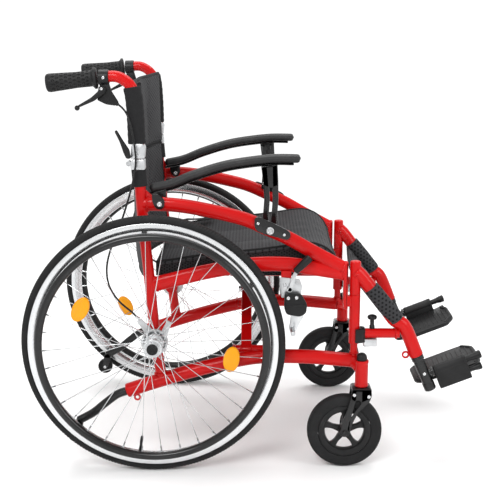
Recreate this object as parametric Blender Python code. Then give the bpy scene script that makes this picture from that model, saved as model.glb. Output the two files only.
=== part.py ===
"""Manual folding wheelchair: two tubular side frames joined by a crossed folding brace.

Metres, +X forward, +Y to the chair's left, +Z up.  The origin is on the floor, under the middle
of the outline.  Every right-hand piece is built first; the left-hand one is its mirror image.
"""
import math

import bmesh
import bpy
import numpy as np
from mathutils import Vector

# ---------------------------------------------------------------- driving dimensions
ORIGIN_X = 0.23165         # rear axle to the middle of the outline, along X
FRAME_Y = 0.245            # centre plane of a side frame
WHEEL_Y = 0.292            # centre plane of a rear wheel
WHEEL_R = 0.300            # outer radius of a rear tyre
RIM_R = 0.2795             # outer radius of the rear rim
RIM_IN_R = 0.2575          # inner radius of the rear rim
HANDRIM_R = 0.2568         # centre radius of the handrim
HANDRIM_T = 0.0090         # radius of the handrim tube
HANDRIM_Y = 0.3215         # plane of the handrim
SPOKES = 36
CASTER_Y = 0.268
CASTER_STEM_X = 0.4765
CASTER_X = 0.4390
CASTER_R = 0.0872
POST_R = 0.0125
LOWER_R = 0.0165
HANGER_X = 0.4595          # swing axis of the footrest hanger
LEG_ANGLE = math.radians(-66.5)
PLATE_TILT = math.radians(21.5)
BRACE_Y = 0.205            # hinge lines of the folding brace
BRACE_LOW_Z = 0.262
BRACE_TOP_Z = 0.452
GAP = 0.0003

RED = (0.62, 0.012, 0.012)
BLACK = (0.018, 0.018, 0.019)
RUBBER = (0.022, 0.022, 0.023)
FABRIC = (0.014, 0.014, 0.015)
SILVER = (0.62, 0.63, 0.64)
RIM_GREY = (0.55, 0.56, 0.57)

FINISHES = {
    "red": (RED, 0.22, 0.0),
    "black": (BLACK, 0.45, 0.0),
    "rubber": (RUBBER, 0.75, 0.0),
    "fabric": (FABRIC, 0.9, 0.0),
    "silver": (SILVER, 0.32, 1.0),
    "rim": (RIM_GREY, 0.28, 1.0),
}


# ---------------------------------------------------------------- mesh helpers
def clear_scene():
    """Removes every object of the start-up scene."""
    for obj in list(bpy.data.objects):
        bpy.data.objects.remove(obj, do_unlink=True)


def finish_mesh(verts, faces):
    """Returns a mesh with outward faces from vertices and polygon loops."""
    mesh = bpy.data.meshes.new("piece")
    mesh.from_pydata([tuple(v) for v in verts], [], faces)
    work = bmesh.new()
    work.from_mesh(mesh)
    bmesh.ops.remove_doubles(work, verts=work.verts, dist=1e-6)
    bmesh.ops.recalc_face_normals(work, faces=work.faces)
    if work.calc_volume(signed=True) < 0:
        bmesh.ops.reverse_faces(work, faces=work.faces)
    work.to_mesh(mesh)
    work.free()
    return mesh


def smooth_path(points, count):
    """Returns `count` points on a centripetal-free Catmull-Rom curve through `points`."""
    pts = np.asarray(points, float)
    if len(pts) == 2:
        t = np.linspace(0, 1, count)[:, None]
        return pts[0] * (1 - t) + pts[1] * t
    ext = np.vstack([2 * pts[0] - pts[1], pts, 2 * pts[-1] - pts[-2]])
    dense = []
    for i in range(1, len(ext) - 2):
        a, b, c, d = ext[i - 1:i + 3]
        t = np.linspace(0, 1, 20, endpoint=False)[:, None]
        dense.append(0.5 * (2 * b + (c - a) * t + (2 * a - 5 * b + 4 * c - d) * t ** 2
                            + (3 * b - a - 3 * c + d) * t ** 3))
    dense = np.vstack(dense + [ext[-2][None]])
    run = np.r_[0, np.cumsum(np.linalg.norm(np.diff(dense, axis=0), axis=1))]
    want = np.linspace(0, run[-1], count)
    return np.stack([np.interp(want, run, dense[:, k]) for k in range(3)], 1)


def tube(points, radius, count=None, sides=12, depth=None, side_dir=(0, 1, 0)):
    """Solid round or oval bar along a smooth path.

    `radius` is the half size along `side_dir`; `depth` is the half size across it.
    """
    pts = np.asarray(points, float)
    path = smooth_path(pts, count or len(pts))
    depth = radius if depth is None else depth
    tangent = np.gradient(path, axis=0)
    tangent /= np.linalg.norm(tangent, axis=1)[:, None]
    side = np.asarray(side_dir, float)
    side = side - (tangent @ side)[:, None] * tangent
    side /= np.linalg.norm(side, axis=1)[:, None]
    normal = np.cross(side, tangent)
    angle = (np.arange(sides) + 0.5) * 2 * math.pi / sides
    ring = (path[:, None, :]
            + radius * np.cos(angle)[None, :, None] * side[:, None, :]
            + depth * np.sin(angle)[None, :, None] * normal[:, None, :])
    verts = ring.reshape(-1, 3)
    faces = [tuple(reversed(range(sides)))]
    rows = len(path)
    for i in range(rows - 1):
        for j in range(sides):
            k = (j + 1) % sides
            faces.append((i * sides + j, i * sides + k, (i + 1) * sides + k, (i + 1) * sides + j))
    faces.append(tuple(range((rows - 1) * sides, rows * sides)))
    return finish_mesh(verts, faces)


def bar(start, end, radius, sides=12):
    """Straight round bar between two points."""
    start, end = np.asarray(start, float), np.asarray(end, float)
    way = (end - start) / np.linalg.norm(end - start)
    side = (0, 1, 0) if abs(way[1]) < 0.9 else (0, 0, 1)
    return tube([start, end], radius, 2, sides, side_dir=side)


def box(low, high):
    """Axis-aligned block."""
    (a, b, c), (d, e, f) = low, high
    verts = [(a, b, c), (d, b, c), (d, e, c), (a, e, c), (a, b, f), (d, b, f), (d, e, f), (a, e, f)]
    faces = [(0, 3, 2, 1), (4, 5, 6, 7), (0, 1, 5, 4), (1, 2, 6, 5), (2, 3, 7, 6), (3, 0, 4, 7)]
    return finish_mesh(verts, faces)


def prism(outline, axis, low, high):
    """Outline in the plane across `axis` ("x", "y" or "z"), extruded from `low` to `high`."""
    place = {"y": lambda p, q: (p[0], q, p[1]),
             "z": lambda p, q: (p[0], p[1], q),
             "x": lambda p, q: (q, p[0], p[1])}[axis]
    n = len(outline)
    verts = [place(p, low) for p in outline] + [place(p, high) for p in outline]
    faces = [tuple(range(n)), tuple(range(2 * n - 1, n - 1, -1))]
    for i in range(n):
        j = (i + 1) % n
        faces.append((i, j, n + j, n + i))
    return finish_mesh(verts, faces)


def turned(profile, centre, steps, closed=True, axis="y"):
    """Body of revolution about an axis through `centre`.

    `profile` lists (radius, position along the axis).  A closed profile makes a ring; an open
    one starts and ends on the axis.
    """
    angle = np.arange(steps) * 2 * math.pi / steps
    verts, rows = [], []
    for radius, along in profile:
        if radius < 1e-7:
            rows.append([len(verts)])
            verts.append((0.0, 0.0, along))
            continue
        rows.append(list(range(len(verts), len(verts) + steps)))
        verts.extend((radius * math.cos(a), radius * math.sin(a), along) for a in angle)
    faces = []
    count = len(rows)
    for i in range(count if closed else count - 1):
        a, b = rows[i], rows[(i + 1) % count]
        for j in range(steps):
            k = (j + 1) % steps
            if len(a) == 1:
                faces.append((a[0], b[j], b[k]))
            elif len(b) == 1:
                faces.append((a[j], b[0], a[k]))
            else:
                faces.append((a[j], b[j], b[k], a[k]))
    out = []
    for x, y, z in verts:
        p = (x, z, y) if axis == "y" else (x, y, z)
        out.append((p[0] + centre[0], p[1] + centre[1], p[2] + centre[2]))
    return finish_mesh(out, faces)


def disc(centre, radius, low, high, steps=16, axis="y"):
    """Plain cylinder along an axis, `low` to `high` measured on that axis."""
    base = list(centre)
    base[1 if axis == "y" else 2] = 0.0
    return turned([(0, low), (radius, low), (radius, high), (0, high)], base, steps, False, axis)


def merged(meshes):
    """One mesh holding several that do not meet each other."""
    work = bmesh.new()
    for mesh in meshes:
        work.from_mesh(mesh)
    out = bpy.data.meshes.new("piece")
    work.to_mesh(out)
    work.free()
    return out


def combine(meshes, operation="UNION"):
    """Boolean of the first mesh with all the others, in order."""
    base = bpy.data.objects.new("base", meshes[0])
    bpy.context.scene.collection.objects.link(base)
    for mesh in meshes[1:]:
        other = bpy.data.objects.new("other", mesh)
        bpy.context.scene.collection.objects.link(other)
        mod = base.modifiers.new("join", "BOOLEAN")
        mod.operation = operation
        mod.solver = "EXACT"
        mod.object = other
        graph = bpy.context.evaluated_depsgraph_get()
        result = bpy.data.meshes.new_from_object(base.evaluated_get(graph))
        base.modifiers.clear()
        base.data = result
        bpy.data.objects.remove(other, do_unlink=True)
    out = base.data
    bpy.data.objects.remove(base, do_unlink=True)
    work = bmesh.new()
    work.from_mesh(out)
    bmesh.ops.remove_doubles(work, verts=work.verts, dist=2e-5)
    bmesh.ops.dissolve_degenerate(work, edges=work.edges, dist=1e-5)
    work.to_mesh(out)
    work.free()
    return out


def mirrored(mesh):
    """The same mesh on the other side of the chair."""
    out = mesh.copy()
    work = bmesh.new()
    work.from_mesh(out)
    for vert in work.verts:
        vert.co.y = -vert.co.y
    bmesh.ops.reverse_faces(work, faces=work.faces)
    work.to_mesh(out)
    work.free()
    return out


MATERIALS = {}


def material(name, finish):
    """Principled material of one node."""
    colour, rough, metal = FINISHES[finish]
    mat = bpy.data.materials.new(name)
    mat.use_nodes = True
    shader = mat.node_tree.nodes["Principled BSDF"]
    shader.inputs["Base Color"].default_value = (*colour, 1)
    shader.inputs["Roughness"].default_value = rough
    shader.inputs["Metallic"].default_value = metal
    MATERIALS[name] = mat
    return mat


def add_node(name, mesh, finish, origin=(0, 0, 0), smooth=True):
    """Links a finished mesh as a named node, with its origin on its joint."""
    mesh.name = name
    obj = bpy.data.objects.new(name, mesh)
    shift = Vector(origin)
    for vert in mesh.vertices:
        vert.co -= shift
    obj.location = shift - Vector((ORIGIN_X, 0, 0))
    mesh.materials.clear()
    mesh.materials.append(material(name, finish))
    bpy.context.scene.collection.objects.link(obj)
    if smooth:
        work = bmesh.new()
        work.from_mesh(mesh)
        for face in work.faces:
            face.smooth = True
        for edge in work.edges:
            if len(edge.link_faces) == 2 and edge.calc_face_angle(0.0) > math.radians(38):
                edge.smooth = False
        work.to_mesh(mesh)
        work.free()
    return obj


def add_pair(name, mesh, finish, origin=(0, 0, 0)):
    """Adds a right-hand node and its mirror image."""
    other = mirrored(mesh)
    add_node(name + "_right", mesh, finish, origin)
    add_node(name + "_left", other, finish, (origin[0], -origin[1], origin[2]))


def flat(y, *pairs):
    """Points (x, z) placed in one upright plane."""
    return [(x, y, z) for x, z in pairs]


# ---------------------------------------------------------------- side frame
ARCH = flat(-FRAME_Y, (-0.026, 0.6175), (0.04, 0.6160), (0.106, 0.6066), (0.200, 0.5850),
            (0.260, 0.5600), (0.310, 0.5370), (0.365, 0.5060), (0.4345, 0.4681))
RAIL = flat(-FRAME_Y, (-0.014, 0.4270), (0.060, 0.4460), (0.130, 0.4625), (0.220, 0.4770),
            (0.300, 0.4785), (0.360, 0.4700), (0.437, 0.4577))
LOWER = flat(-FRAME_Y, (-0.0685, 0.1740), (0.000, 0.1970), (0.060, 0.2160), (0.123, 0.2335),
             (0.200, 0.2515), (0.260, 0.2585), (0.360, 0.2575), (0.4560, 0.2490))
POST = flat(-FRAME_Y, (0.0135, 0.2020), (0.0005, 0.3000), (-0.0125, 0.4620), (-0.0205, 0.5500),
            (-0.0300, 0.6960))


def build_frame():
    """One welded side frame: post, arched top tube, seat rail, base tube and caster head."""
    y = -FRAME_Y
    pieces = [
        tube(POST, POST_R, 6, 10),
        tube(ARCH, 0.0125, 10, 10, depth=0.0160),
        tube(RAIL, 0.0110, 8, 10, depth=0.0172),
        tube(LOWER, LOWER_R, 9, 10),
        # curved end of the base tube, welded into the caster head
        bar((0.452, y, 0.2495), (CASTER_STEM_X - 0.004, -CASTER_Y + 0.004, 0.2395), 0.0135, 8),
        disc((CASTER_STEM_X, -CASTER_Y, 0), 0.0158, 0.1957, 0.2575, 14, "z"),
        turned([(0, 0.2570), (0.0118, 0.2570), (0.0118, 0.2660), (0.0085, 0.2725), (0, 0.2745)],
               (CASTER_STEM_X, -CASTER_Y, 0), 10, False, "z"),
        # upright plate at the front of the arch, with a rounded foot
        prism([(0.4320, 0.3850), (0.4345, 0.3760), (0.4395, 0.3725), (0.4426, 0.3760),
               (0.4426, 0.4860), (0.4320, 0.4800)], "y", y - 0.0115, y + 0.0115),
        prism([(0.4400, 0.3800), (0.4540, 0.3800), (0.4540, 0.4050), (0.4400, 0.4050)],
              "y", y - 0.009, y + 0.009),
        disc((HANGER_X, y, 0), POST_R, 0.2915, 0.4082, 14, "z"),
        disc((HANGER_X, y, 0), 0.0080, 0.2450, 0.2950, 8, "z"),
        # axle boss
        disc((0, 0, 0.300), 0.0175, y - 0.0185, y + 0.0150, 14, "y"),
        # lug of the parking brake
        prism([(0.2900, 0.4650), (0.3130, 0.4650), (0.3130, 0.4420), (0.3060, 0.4360),
               (0.2900, 0.4360)], "y", y - 0.0118, y - 0.0040),
        # weld gusset between post and arch
        prism([(-0.0270, 0.6250), (0.0120, 0.6250), (-0.0240, 0.6580)], "y", y - 0.003, y + 0.003),
        # ears that hold the folding brace
        prism([(-FRAME_Y + 0.004, 0.2480), (-BRACE_Y + 0.012, 0.2520), (-BRACE_Y + 0.014, 0.2640),
               (-BRACE_Y + 0.006, 0.2735), (-BRACE_Y - 0.006, 0.2735), (-FRAME_Y + 0.004, 0.2690)],
              "x", 0.1780, 0.1840),
        prism([(-FRAME_Y + 0.004, 0.2480), (-BRACE_Y + 0.012, 0.2520), (-BRACE_Y + 0.014, 0.2640),
               (-BRACE_Y + 0.006, 0.2735), (-BRACE_Y - 0.006, 0.2735), (-FRAME_Y + 0.004, 0.2690)],
              "x", 0.2620, 0.2680),
        build_back_hinge(),
        build_arm_clamp(),
    ]
    return combine(pieces)


# ---------------------------------------------------------------- rear wheel
def build_wheel():
    """Rear rim, hub and crossed spokes as one laced wheel."""
    y = -WHEEL_Y
    rim = turned([(RIM_R, y - 0.0112), (RIM_R, y + 0.0112), (RIM_IN_R + 0.006, y + 0.0110),
                  (RIM_IN_R, y + 0.0050), (RIM_IN_R, y - 0.0050), (RIM_IN_R + 0.006, y - 0.0110)],
                 (0, 0, WHEEL_R), 40)
    hub = turned([(0, -0.3310), (0.0105, -0.3310), (0.0140, -0.3270), (0.0140, -0.3180),
                  (0.0210, -0.3180), (0.0210, -0.3150), (0.0120, -0.3140), (0.0120, -0.2830),
                  (0.0220, -0.2825), (0.0220, -0.2790), (0.0130, -0.2725), (0, -0.2725)],
                 (0, 0, WHEEL_R), 14, False)
    spokes = []
    for i in range(SPOKES):
        rim_angle = math.radians(360.0 * i / SPOKES + 3.0)
        outer = i % 2 == 0
        lead = 1 if (i // 2) % 2 == 0 else -1
        hub_angle = rim_angle + lead * math.radians(58)
        flange = -0.3165 if outer else -0.2810
        start = (0.0185 * math.cos(hub_angle), flange - lead * 0.0021,
                 WHEEL_R + 0.0185 * math.sin(hub_angle))
        end_r = RIM_IN_R + 0.0015
        end = (end_r * math.cos(rim_angle), y + (-0.0015 if outer else 0.0015),
               WHEEL_R + end_r * math.sin(rim_angle))
        spokes.append(bar(start, end, 0.00115, 3))
    return combine([merged([rim, hub]), merged(spokes)])


def build_tyre():
    """Rear tyre with a flat tread."""
    y = -WHEEL_Y
    profile = [(RIM_R + 0.0012, y - 0.0095), (0.2890, y - 0.0135), (WHEEL_R, y - 0.0055),
               (WHEEL_R, y + 0.0055), (0.2890, y + 0.0135), (RIM_R + 0.0012, y + 0.0095)]
    return turned(profile, (0, 0, WHEEL_R), 48)


def build_handrim():
    """Hand-push ring on six short standoffs."""
    ring = [(HANDRIM_R + HANDRIM_T * math.cos(a), -HANDRIM_Y + HANDRIM_T * math.sin(a))
            for a in (np.arange(6) + 0.5) * math.pi / 3]
    pieces = [turned(ring, (0, 0, WHEEL_R), 42)]
    studs = []
    for i in range(6):
        a = math.radians(60 * i + 33)
        r = RIM_IN_R + 0.0072
        x, z = r * math.cos(a), WHEEL_R + r * math.sin(a)
        r2 = HANDRIM_R
        x2, z2 = r2 * math.cos(a), WHEEL_R + r2 * math.sin(a)
        studs.append(bar((x, -WHEEL_Y - 0.0133, z), (x2, -HANDRIM_Y + 0.002, z2), 0.0042, 6))
    return combine(pieces + [merged(studs)])


def build_drum():
    """Fixed brake plate behind the hub, with the cable arm."""
    y = -FRAME_Y
    return combine([
        disc((0, 0, 0.300), 0.0310, y - 0.0265, y - 0.0192, 24, "y"),
        prism([(-0.040, 0.350), (-0.030, 0.356), (0.004, 0.322), (-0.014, 0.310)],
              "y", y - 0.0240, y - 0.0205),
        prism([(0.012, 0.318), (0.030, 0.352), (0.040, 0.346), (0.027, 0.306)],
              "y", y - 0.0240, y - 0.0205),
    ])


# ---------------------------------------------------------------- front caster
def build_caster_rim():
    """Five-spoke caster wheel body with a bored hub."""
    y = -CASTER_Y
    centre = (CASTER_X, 0, CASTER_R)
    ring = turned([(0.0610, y - 0.0120), (0.0610, y + 0.0120), (0.0500, y + 0.0125),
                   (0.0440, y + 0.0080), (0.0440, y - 0.0080), (0.0500, y - 0.0125)], centre, 25)
    hub = disc((CASTER_X, 0, CASTER_R), 0.0130, y - 0.0175, y + 0.0175, 15, "y")
    arms = []
    for i in range(5):
        a = math.radians(90 + 72 * i)
        c, s = math.cos(a), math.sin(a)
        outline = []
        for along, across in ((0.006, -0.0058), (0.040, -0.0042), (0.0475, -0.0075),
                              (0.0475, 0.0075), (0.040, 0.0042), (0.006, 0.0058)):
            outline.append((CASTER_X + along * c - across * s, CASTER_R + along * s + across * c))
        arms.append(prism(outline, "y", y - 0.0060, y + 0.0060))
    bore = disc((CASTER_X, 0, CASTER_R), 0.0056, y - 0.030, y + 0.030, 12, "y")
    return combine([combine([ring, hub] + arms), bore], "DIFFERENCE")


def build_caster_tyre():
    """Solid caster tyre."""
    y = -CASTER_Y
    profile = [(0.0615, y - 0.0130), (0.0760, y - 0.0150), (CASTER_R, y - 0.0060),
               (CASTER_R, y + 0.0060), (0.0760, y + 0.0150), (0.0615, y + 0.0130)]
    return turned(profile, (CASTER_X, 0, CASTER_R), 32)


def build_fork():
    """Caster fork: top plate, two slotted legs and the axle."""
    y = -CASTER_Y
    outline = [(0.4535, 0.1880), (0.4520, 0.1730), (0.4440, 0.1480), (0.4310, 0.1080),
               (0.4290, 0.0850), (0.4340, 0.0772), (0.4440, 0.0772), (0.4500, 0.0860),
               (0.4570, 0.1120), (0.4690, 0.1370), (0.4950, 0.1640), (0.4990, 0.1760),
               (0.4990, 0.1880)]
    slot = [(0.4600, 0.1560), (0.4690, 0.1660), (0.4760, 0.1600), (0.4600, 0.1370),
            (0.4520, 0.1230), (0.4500, 0.1260)]
    legs = []
    for low, high in ((y - 0.0225, y - 0.0185), (y + 0.0185, y + 0.0225)):
        leg = prism(outline, "y", low, high)
        cut = prism(slot, "y", low - 0.01, high + 0.01)
        legs.append(combine([leg, cut], "DIFFERENCE"))
    plate = prism([(0.4535, 0.1870), (0.4990, 0.1870), (0.4990, 0.1915), (0.4960, 0.1945),
                   (0.4570, 0.1945), (0.4535, 0.1915)], "y", y - 0.0225, y + 0.0225)
    stem = disc((CASTER_STEM_X, y, 0), 0.0090, 0.1930, 0.1954, 12, "z")
    axle = bar((CASTER_X, y - 0.0265, CASTER_R), (CASTER_X, y + 0.0265, CASTER_R), 0.0050, 12)
    return combine([plate, merged(legs), stem, axle])


# ---------------------------------------------------------------- footrest
LEG_DIR = np.array([math.cos(LEG_ANGLE), 0.0, math.sin(LEG_ANGLE)])
LEG_TOP = np.array([0.6055, -FRAME_Y, 0.2615])
PLATE_U = np.array([math.cos(PLATE_TILT), 0.0, math.sin(PLATE_TILT)])
PLATE_W = np.array([-math.sin(PLATE_TILT), 0.0, math.cos(PLATE_TILT)])
PLATE_O = np.array([0.6475, -FRAME_Y, 0.2237])


HANGER = flat(-FRAME_Y, (HANGER_X, 0.4640), (0.4740, 0.4500), (0.4920, 0.4265),
              (0.5220, 0.3880), (0.5500, 0.3490))
HANGER += [tuple(LEG_TOP - 0.075 * LEG_DIR), tuple(LEG_TOP)]


def build_hanger():
    """Swing-away hanger: sleeve, curved tube bored for the leg tube, and latch bar."""
    y = -FRAME_Y
    body = combine([
        disc((HANGER_X, y, 0), POST_R, 0.4088, 0.4830, 14, "z"),
        tube(HANGER, 0.0160, 9, 12),
        bar((0.4800, y, 0.3152), (0.5680, y, 0.3152), 0.0113, 10),
        turned([(0.0088, y - 0.0022), (0.0088, y + 0.0022), (0.0050, y + 0.0022),
                (0.0050, y - 0.0022)], (0.5800, 0, 0.2630), 10),
    ])
    bore = bar(LEG_TOP - 0.070 * LEG_DIR, LEG_TOP + 0.02 * LEG_DIR, 0.0136, 12)
    return combine([body, bore], "DIFFERENCE")


def build_latch():
    """Hanger latch: hooked block against the front post and its guide plate."""
    y = -FRAME_Y
    hook = [(HANGER_X + 0.0131, y + 0.012), (HANGER_X + 0.0200, y + 0.013),
            (HANGER_X + 0.0245, y + 0.006), (HANGER_X + 0.0245, y - 0.012),
            (HANGER_X + 0.0160, y - 0.0190), (HANGER_X + 0.0020, y - 0.0200),
            (HANGER_X + 0.0010, y - 0.0134), (HANGER_X + 0.0070, y - 0.0118),
            (HANGER_X + 0.0110, y - 0.0078), (HANGER_X + 0.0131, y - 0.0020)]
    block = prism(hook, "z", 0.2960, 0.3285)
    # the latch bar starts inside a pocket of the block
    pocket = bar((0.4790, y, 0.3152), (0.5200, y, 0.3152), 0.0120, 10)
    guide = box((0.4805, y - 0.0110, 0.2855), (0.5120, y + 0.0110, 0.3030))
    return combine([combine([block, guide]), pocket], "DIFFERENCE")


def build_knob():
    """Release knob of the hanger latch."""
    return turned([(0, 0.3268), (0.0062, 0.3268), (0.0062, 0.3480), (0.0110, 0.3500),
                   (0.0110, 0.3555), (0.0080, 0.3585), (0, 0.3590)],
                  (0.5005, -FRAME_Y, 0), 14, False, "z")


def build_leg():
    """Telescopic leg tube with the footplate pin and its collar."""
    end = LEG_TOP + 0.0900 * LEG_DIR
    pin_start = PLATE_O - 0.0240 * PLATE_U
    return combine([
        bar(LEG_TOP - 0.0660 * LEG_DIR, end, 0.0130, 12),
        bar(LEG_TOP + 0.0010 * LEG_DIR, end, 0.0138, 12),
        bar(pin_start, PLATE_O - 0.0005 * PLATE_U, 0.0075, 10),
        bar(PLATE_O - 0.0070 * PLATE_U, PLATE_O - 0.0006 * PLATE_U, 0.0115, 10),
    ])


def tilted(outline, low, high):
    """Plate drawn in (along, across) of the tilted footplate plane, `low` to `high` in depth."""
    verts = []
    for depth in (low, high):
        for u, v in outline:
            verts.append(PLATE_O + u * PLATE_U + depth * PLATE_W + np.array([0, v, 0]))
    n = len(outline)
    faces = [tuple(range(n)), tuple(range(2 * n - 1, n - 1, -1))]
    for i in range(n):
        j = (i + 1) % n
        faces.append((i, j, n + j, n + i))
    return finish_mesh(verts, faces)


def build_footplate():
    """Flip-up footplate: tread, hinge barrel with its skirt, and two end knobs."""
    tread = tilted([(0.002, 0.006), (0.100, 0.006), (0.113, 0.030), (0.113, 0.112),
                    (0.090, 0.146), (-0.010, 0.146), (-0.050, 0.118), (-0.050, 0.040),
                    (-0.034, 0.0215), (0.002, 0.0215)], -0.0290, -0.0172)
    skirt = tilted([(0.0, -0.0125), (0.078, -0.0125), (0.078, 0.0125), (0.0, 0.0125)],
                   -0.0440, 0.0020)
    barrel = bar(PLATE_O, PLATE_O + 0.0780 * PLATE_U, 0.0130, 14)
    low = PLATE_O - 0.0270 * PLATE_W
    knob = bar(PLATE_O + 0.0700 * PLATE_U, PLATE_O + 0.1150 * PLATE_U, 0.0095, 10)
    knob_low = bar(low + 0.0700 * PLATE_U, low + 0.1080 * PLATE_U, 0.0085, 10)
    return combine([barrel, skirt, tread, knob, knob_low])


def build_strap():
    """Half of the calf strap, wrapped round its hanger tube and meeting its twin in the middle."""
    verts, faces = [], []
    y = -FRAME_Y
    plan = [(0.0205, y - 0.0192), (-0.0192, y - 0.0192), (-0.0212, y + 0.0150),
            (-0.0300, y + 0.1100), (-0.0330, -0.0004), (-0.0290, -0.0004),
            (-0.0260, y + 0.1100), (-0.0165, y + 0.0168), (0.0205, y + 0.0168)]
    # the strap leans with the hanger tube
    lean = np.array([0.0625, 0.0, -0.0779])
    base = np.array([0.4960, 0.0, 0.4250])
    across = np.array([0.78, 0.0, 0.626])
    for step in (0.0, 1.0):
        for u, v in plan:
            verts.append(base + step * lean + u * across + np.array([0, v, 0]))
    n = len(plan)
    faces = [tuple(range(n)), tuple(range(2 * n - 1, n - 1, -1))]
    for i in range(n):
        j = (i + 1) % n
        faces.append((i, j, n + j, n + i))
    body = finish_mesh(verts, faces)
    hole = tube(HANGER, 0.0168, 9, 12)
    return combine([body, hole], "DIFFERENCE")


# ---------------------------------------------------------------- armrest
ARM_PIVOT = (0.0165, -0.2300, 0.6196)
ARM_Y = 0.2120
PAD_MID = [(-0.002, 0.6480), (0.040, 0.6560), (0.090, 0.6760), (0.150, 0.6950), (0.200, 0.7050),
           (0.270, 0.7130), (0.334, 0.7130)]


def build_pad():
    """Slim curved armrest pad."""
    y = -ARM_Y
    points = [(x, y, z + 0.0035) for x, z in PAD_MID]
    return tube(points, 0.0195, 9, 10, depth=0.0085)


def build_arm_bar():
    """Armrest carrier: bar under the pad, slotted front post and rear pivot plate."""
    y = -ARM_Y
    points = [(x, y, z - 0.0092) for x, z in PAD_MID[:-1]] + [(0.318, y, 0.7038)]
    rib = tube(points, 0.0100, 9, 6, depth=0.0030)
    post = prism([(0.2470, 0.7000), (0.2790, 0.7040), (0.2795, 0.5660), (0.2475, 0.5760)],
                 "y", -0.2290, -0.2220)
    slot = prism([(0.2590, 0.6720), (0.2680, 0.6720), (0.2680, 0.5500), (0.2590, 0.5500)],
                 "y", -0.24, -0.21)
    neck = prism([(0.2480, 0.6960), (0.2785, 0.6990), (0.2785, 0.7030), (0.2480, 0.7000)],
                 "y", -0.2290, -0.2080)
    plate = prism([(0.0020, 0.6400), (0.0290, 0.6470), (0.0290, 0.6200), (0.0240, 0.6110),
                   (0.0165, 0.6080), (0.0090, 0.6110), (0.0020, 0.6250)], "y", -0.2290, -0.2240)
    shelf = prism([(0.0020, 0.6370), (0.0290, 0.6440), (0.0290, 0.6480), (0.0020, 0.6410)],
                  "y", -0.2290, -0.2080)
    pin = bar((0.0165, -0.2320, 0.6196), (0.0165, -0.2200, 0.6196), 0.0058, 10)
    carrier = combine([post, slot], "DIFFERENCE")
    return combine([rib, carrier, neck, plate, shelf, pin])


def build_arm_clamp():
    """Clamp plate on the arched tube that the front post stands in."""
    y = -0.2550
    plate = prism([(0.2170, 0.6000), (0.2260, 0.6020), (0.2560, 0.5800), (0.2560, 0.5745),
                   (0.2960, 0.5580), (0.3105, 0.5500), (0.3095, 0.5330), (0.3030, 0.5260),
                   (0.2240, 0.5600), (0.2170, 0.5720)], "y", y - 0.0070, y)
    button = disc((0.2642, 0, 0.5555), 0.0105, y - 0.0100, y - 0.002, 12, "y")
    heads = [disc((0.2330, 0, 0.5790), 0.0048, y - 0.0085, y - 0.002, 8, "y"),
             disc((0.2930, 0, 0.5450), 0.0048, y - 0.0085, y - 0.002, 8, "y")]
    rear = prism([(0.0000, 0.6420), (0.0100, 0.6440), (0.0280, 0.6300), (0.0270, 0.6120),
                  (0.0165, 0.6060), (0.0060, 0.6120), (0.0000, 0.6280)], "y", y - 0.0070, y)
    bolt = disc((0.0165, 0, 0.6196), 0.0065, y - 0.0105, y - 0.002, 10, "y")
    return combine([plate, button, merged(heads), merged([rear]), bolt])


# ---------------------------------------------------------------- back
CANE = flat(-FRAME_Y, (-0.0305, 0.7210), (-0.0285, 0.7600), (-0.0292, 0.8050), (-0.0330, 0.8500),
            (-0.0440, 0.8810), (-0.0720, 0.9000), (-0.1130, 0.8990))
GRIP_A = np.array([-0.1165, -FRAME_Y, 0.8980])
GRIP_B = np.array([-0.2290, -FRAME_Y, 0.8860])


def build_cane():
    """Upper back tube with its bend for the push handle, and the clamp of the brake lever."""
    return combine([tube(CANE, POST_R, 11, 10), build_perch()])


def build_grip():
    """Push-handle grip with a guard at the front."""
    way = (GRIP_B - GRIP_A) / np.linalg.norm(GRIP_B - GRIP_A)
    length = np.linalg.norm(GRIP_B - GRIP_A)
    rings = [(0.0, 0.0175), (0.0010, 0.0240), (0.0070, 0.0240), (0.0110, 0.0180), (0.045, 0.0175),
             (0.085, 0.0195), (length - 0.006, 0.0205), (length, 0.0175)]
    side = np.array([0.0, 1.0, 0.0])
    up = np.cross(side, way)
    sides = 12
    verts, faces = [], []
    for along, radius in rings:
        for j in range(sides):
            a = 2 * math.pi * j / sides
            verts.append(GRIP_A + along * way + radius * (0.86 * math.cos(a) * side
                                                          + math.sin(a) * up))
    faces.append(tuple(reversed(range(sides))))
    for i in range(len(rings) - 1):
        for j in range(sides):
            k = (j + 1) % sides
            faces.append((i * sides + j, i * sides + k, (i + 1) * sides + k, (i + 1) * sides + j))
    faces.append(tuple(range((len(rings) - 1) * sides, len(rings) * sides)))
    return finish_mesh(verts, faces)


def build_perch():
    """Clamp of the attendant brake on the handle tube, with its cable horn."""
    y = -FRAME_Y
    ring = bar((-0.1120, y, 0.8990), (-0.0910, y, 0.8995), 0.0168, 12)
    horn = prism([(-0.1110, 0.8855), (-0.0920, 0.8860), (-0.0720, 0.8560), (-0.0730, 0.8440),
                  (-0.0860, 0.8450), (-0.1020, 0.8640), (-0.1120, 0.8680)],
                 "y", y - 0.0050, y + 0.0050)
    return combine([ring, horn])


LEVER_PIVOT = (-0.1057, -0.2530, 0.8750)


def build_brake_lever():
    """Attendant brake lever with a ball end."""
    y = -0.2560
    blade = prism([(-0.1120, 0.8800), (-0.1000, 0.8800), (-0.0940, 0.8740), (-0.1000, 0.8640),
                   (-0.1230, 0.8480), (-0.1560, 0.8340), (-0.1600, 0.8380), (-0.1290, 0.8560),
                   (-0.1130, 0.8700)], "y", y - 0.0035, y + 0.0052)
    ball = turned([(0, y - 0.0060), (0.0045, y - 0.0040), (0.0062, y), (0.0045, y + 0.0040),
                   (0, y + 0.0060)], (-0.1605, 0, 0.8330), 10, False)
    bolt = disc((-0.1057, 0, 0.8750), 0.0040, y - 0.0060, y, 8, "y")
    return combine([blade, ball, bolt])


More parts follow.
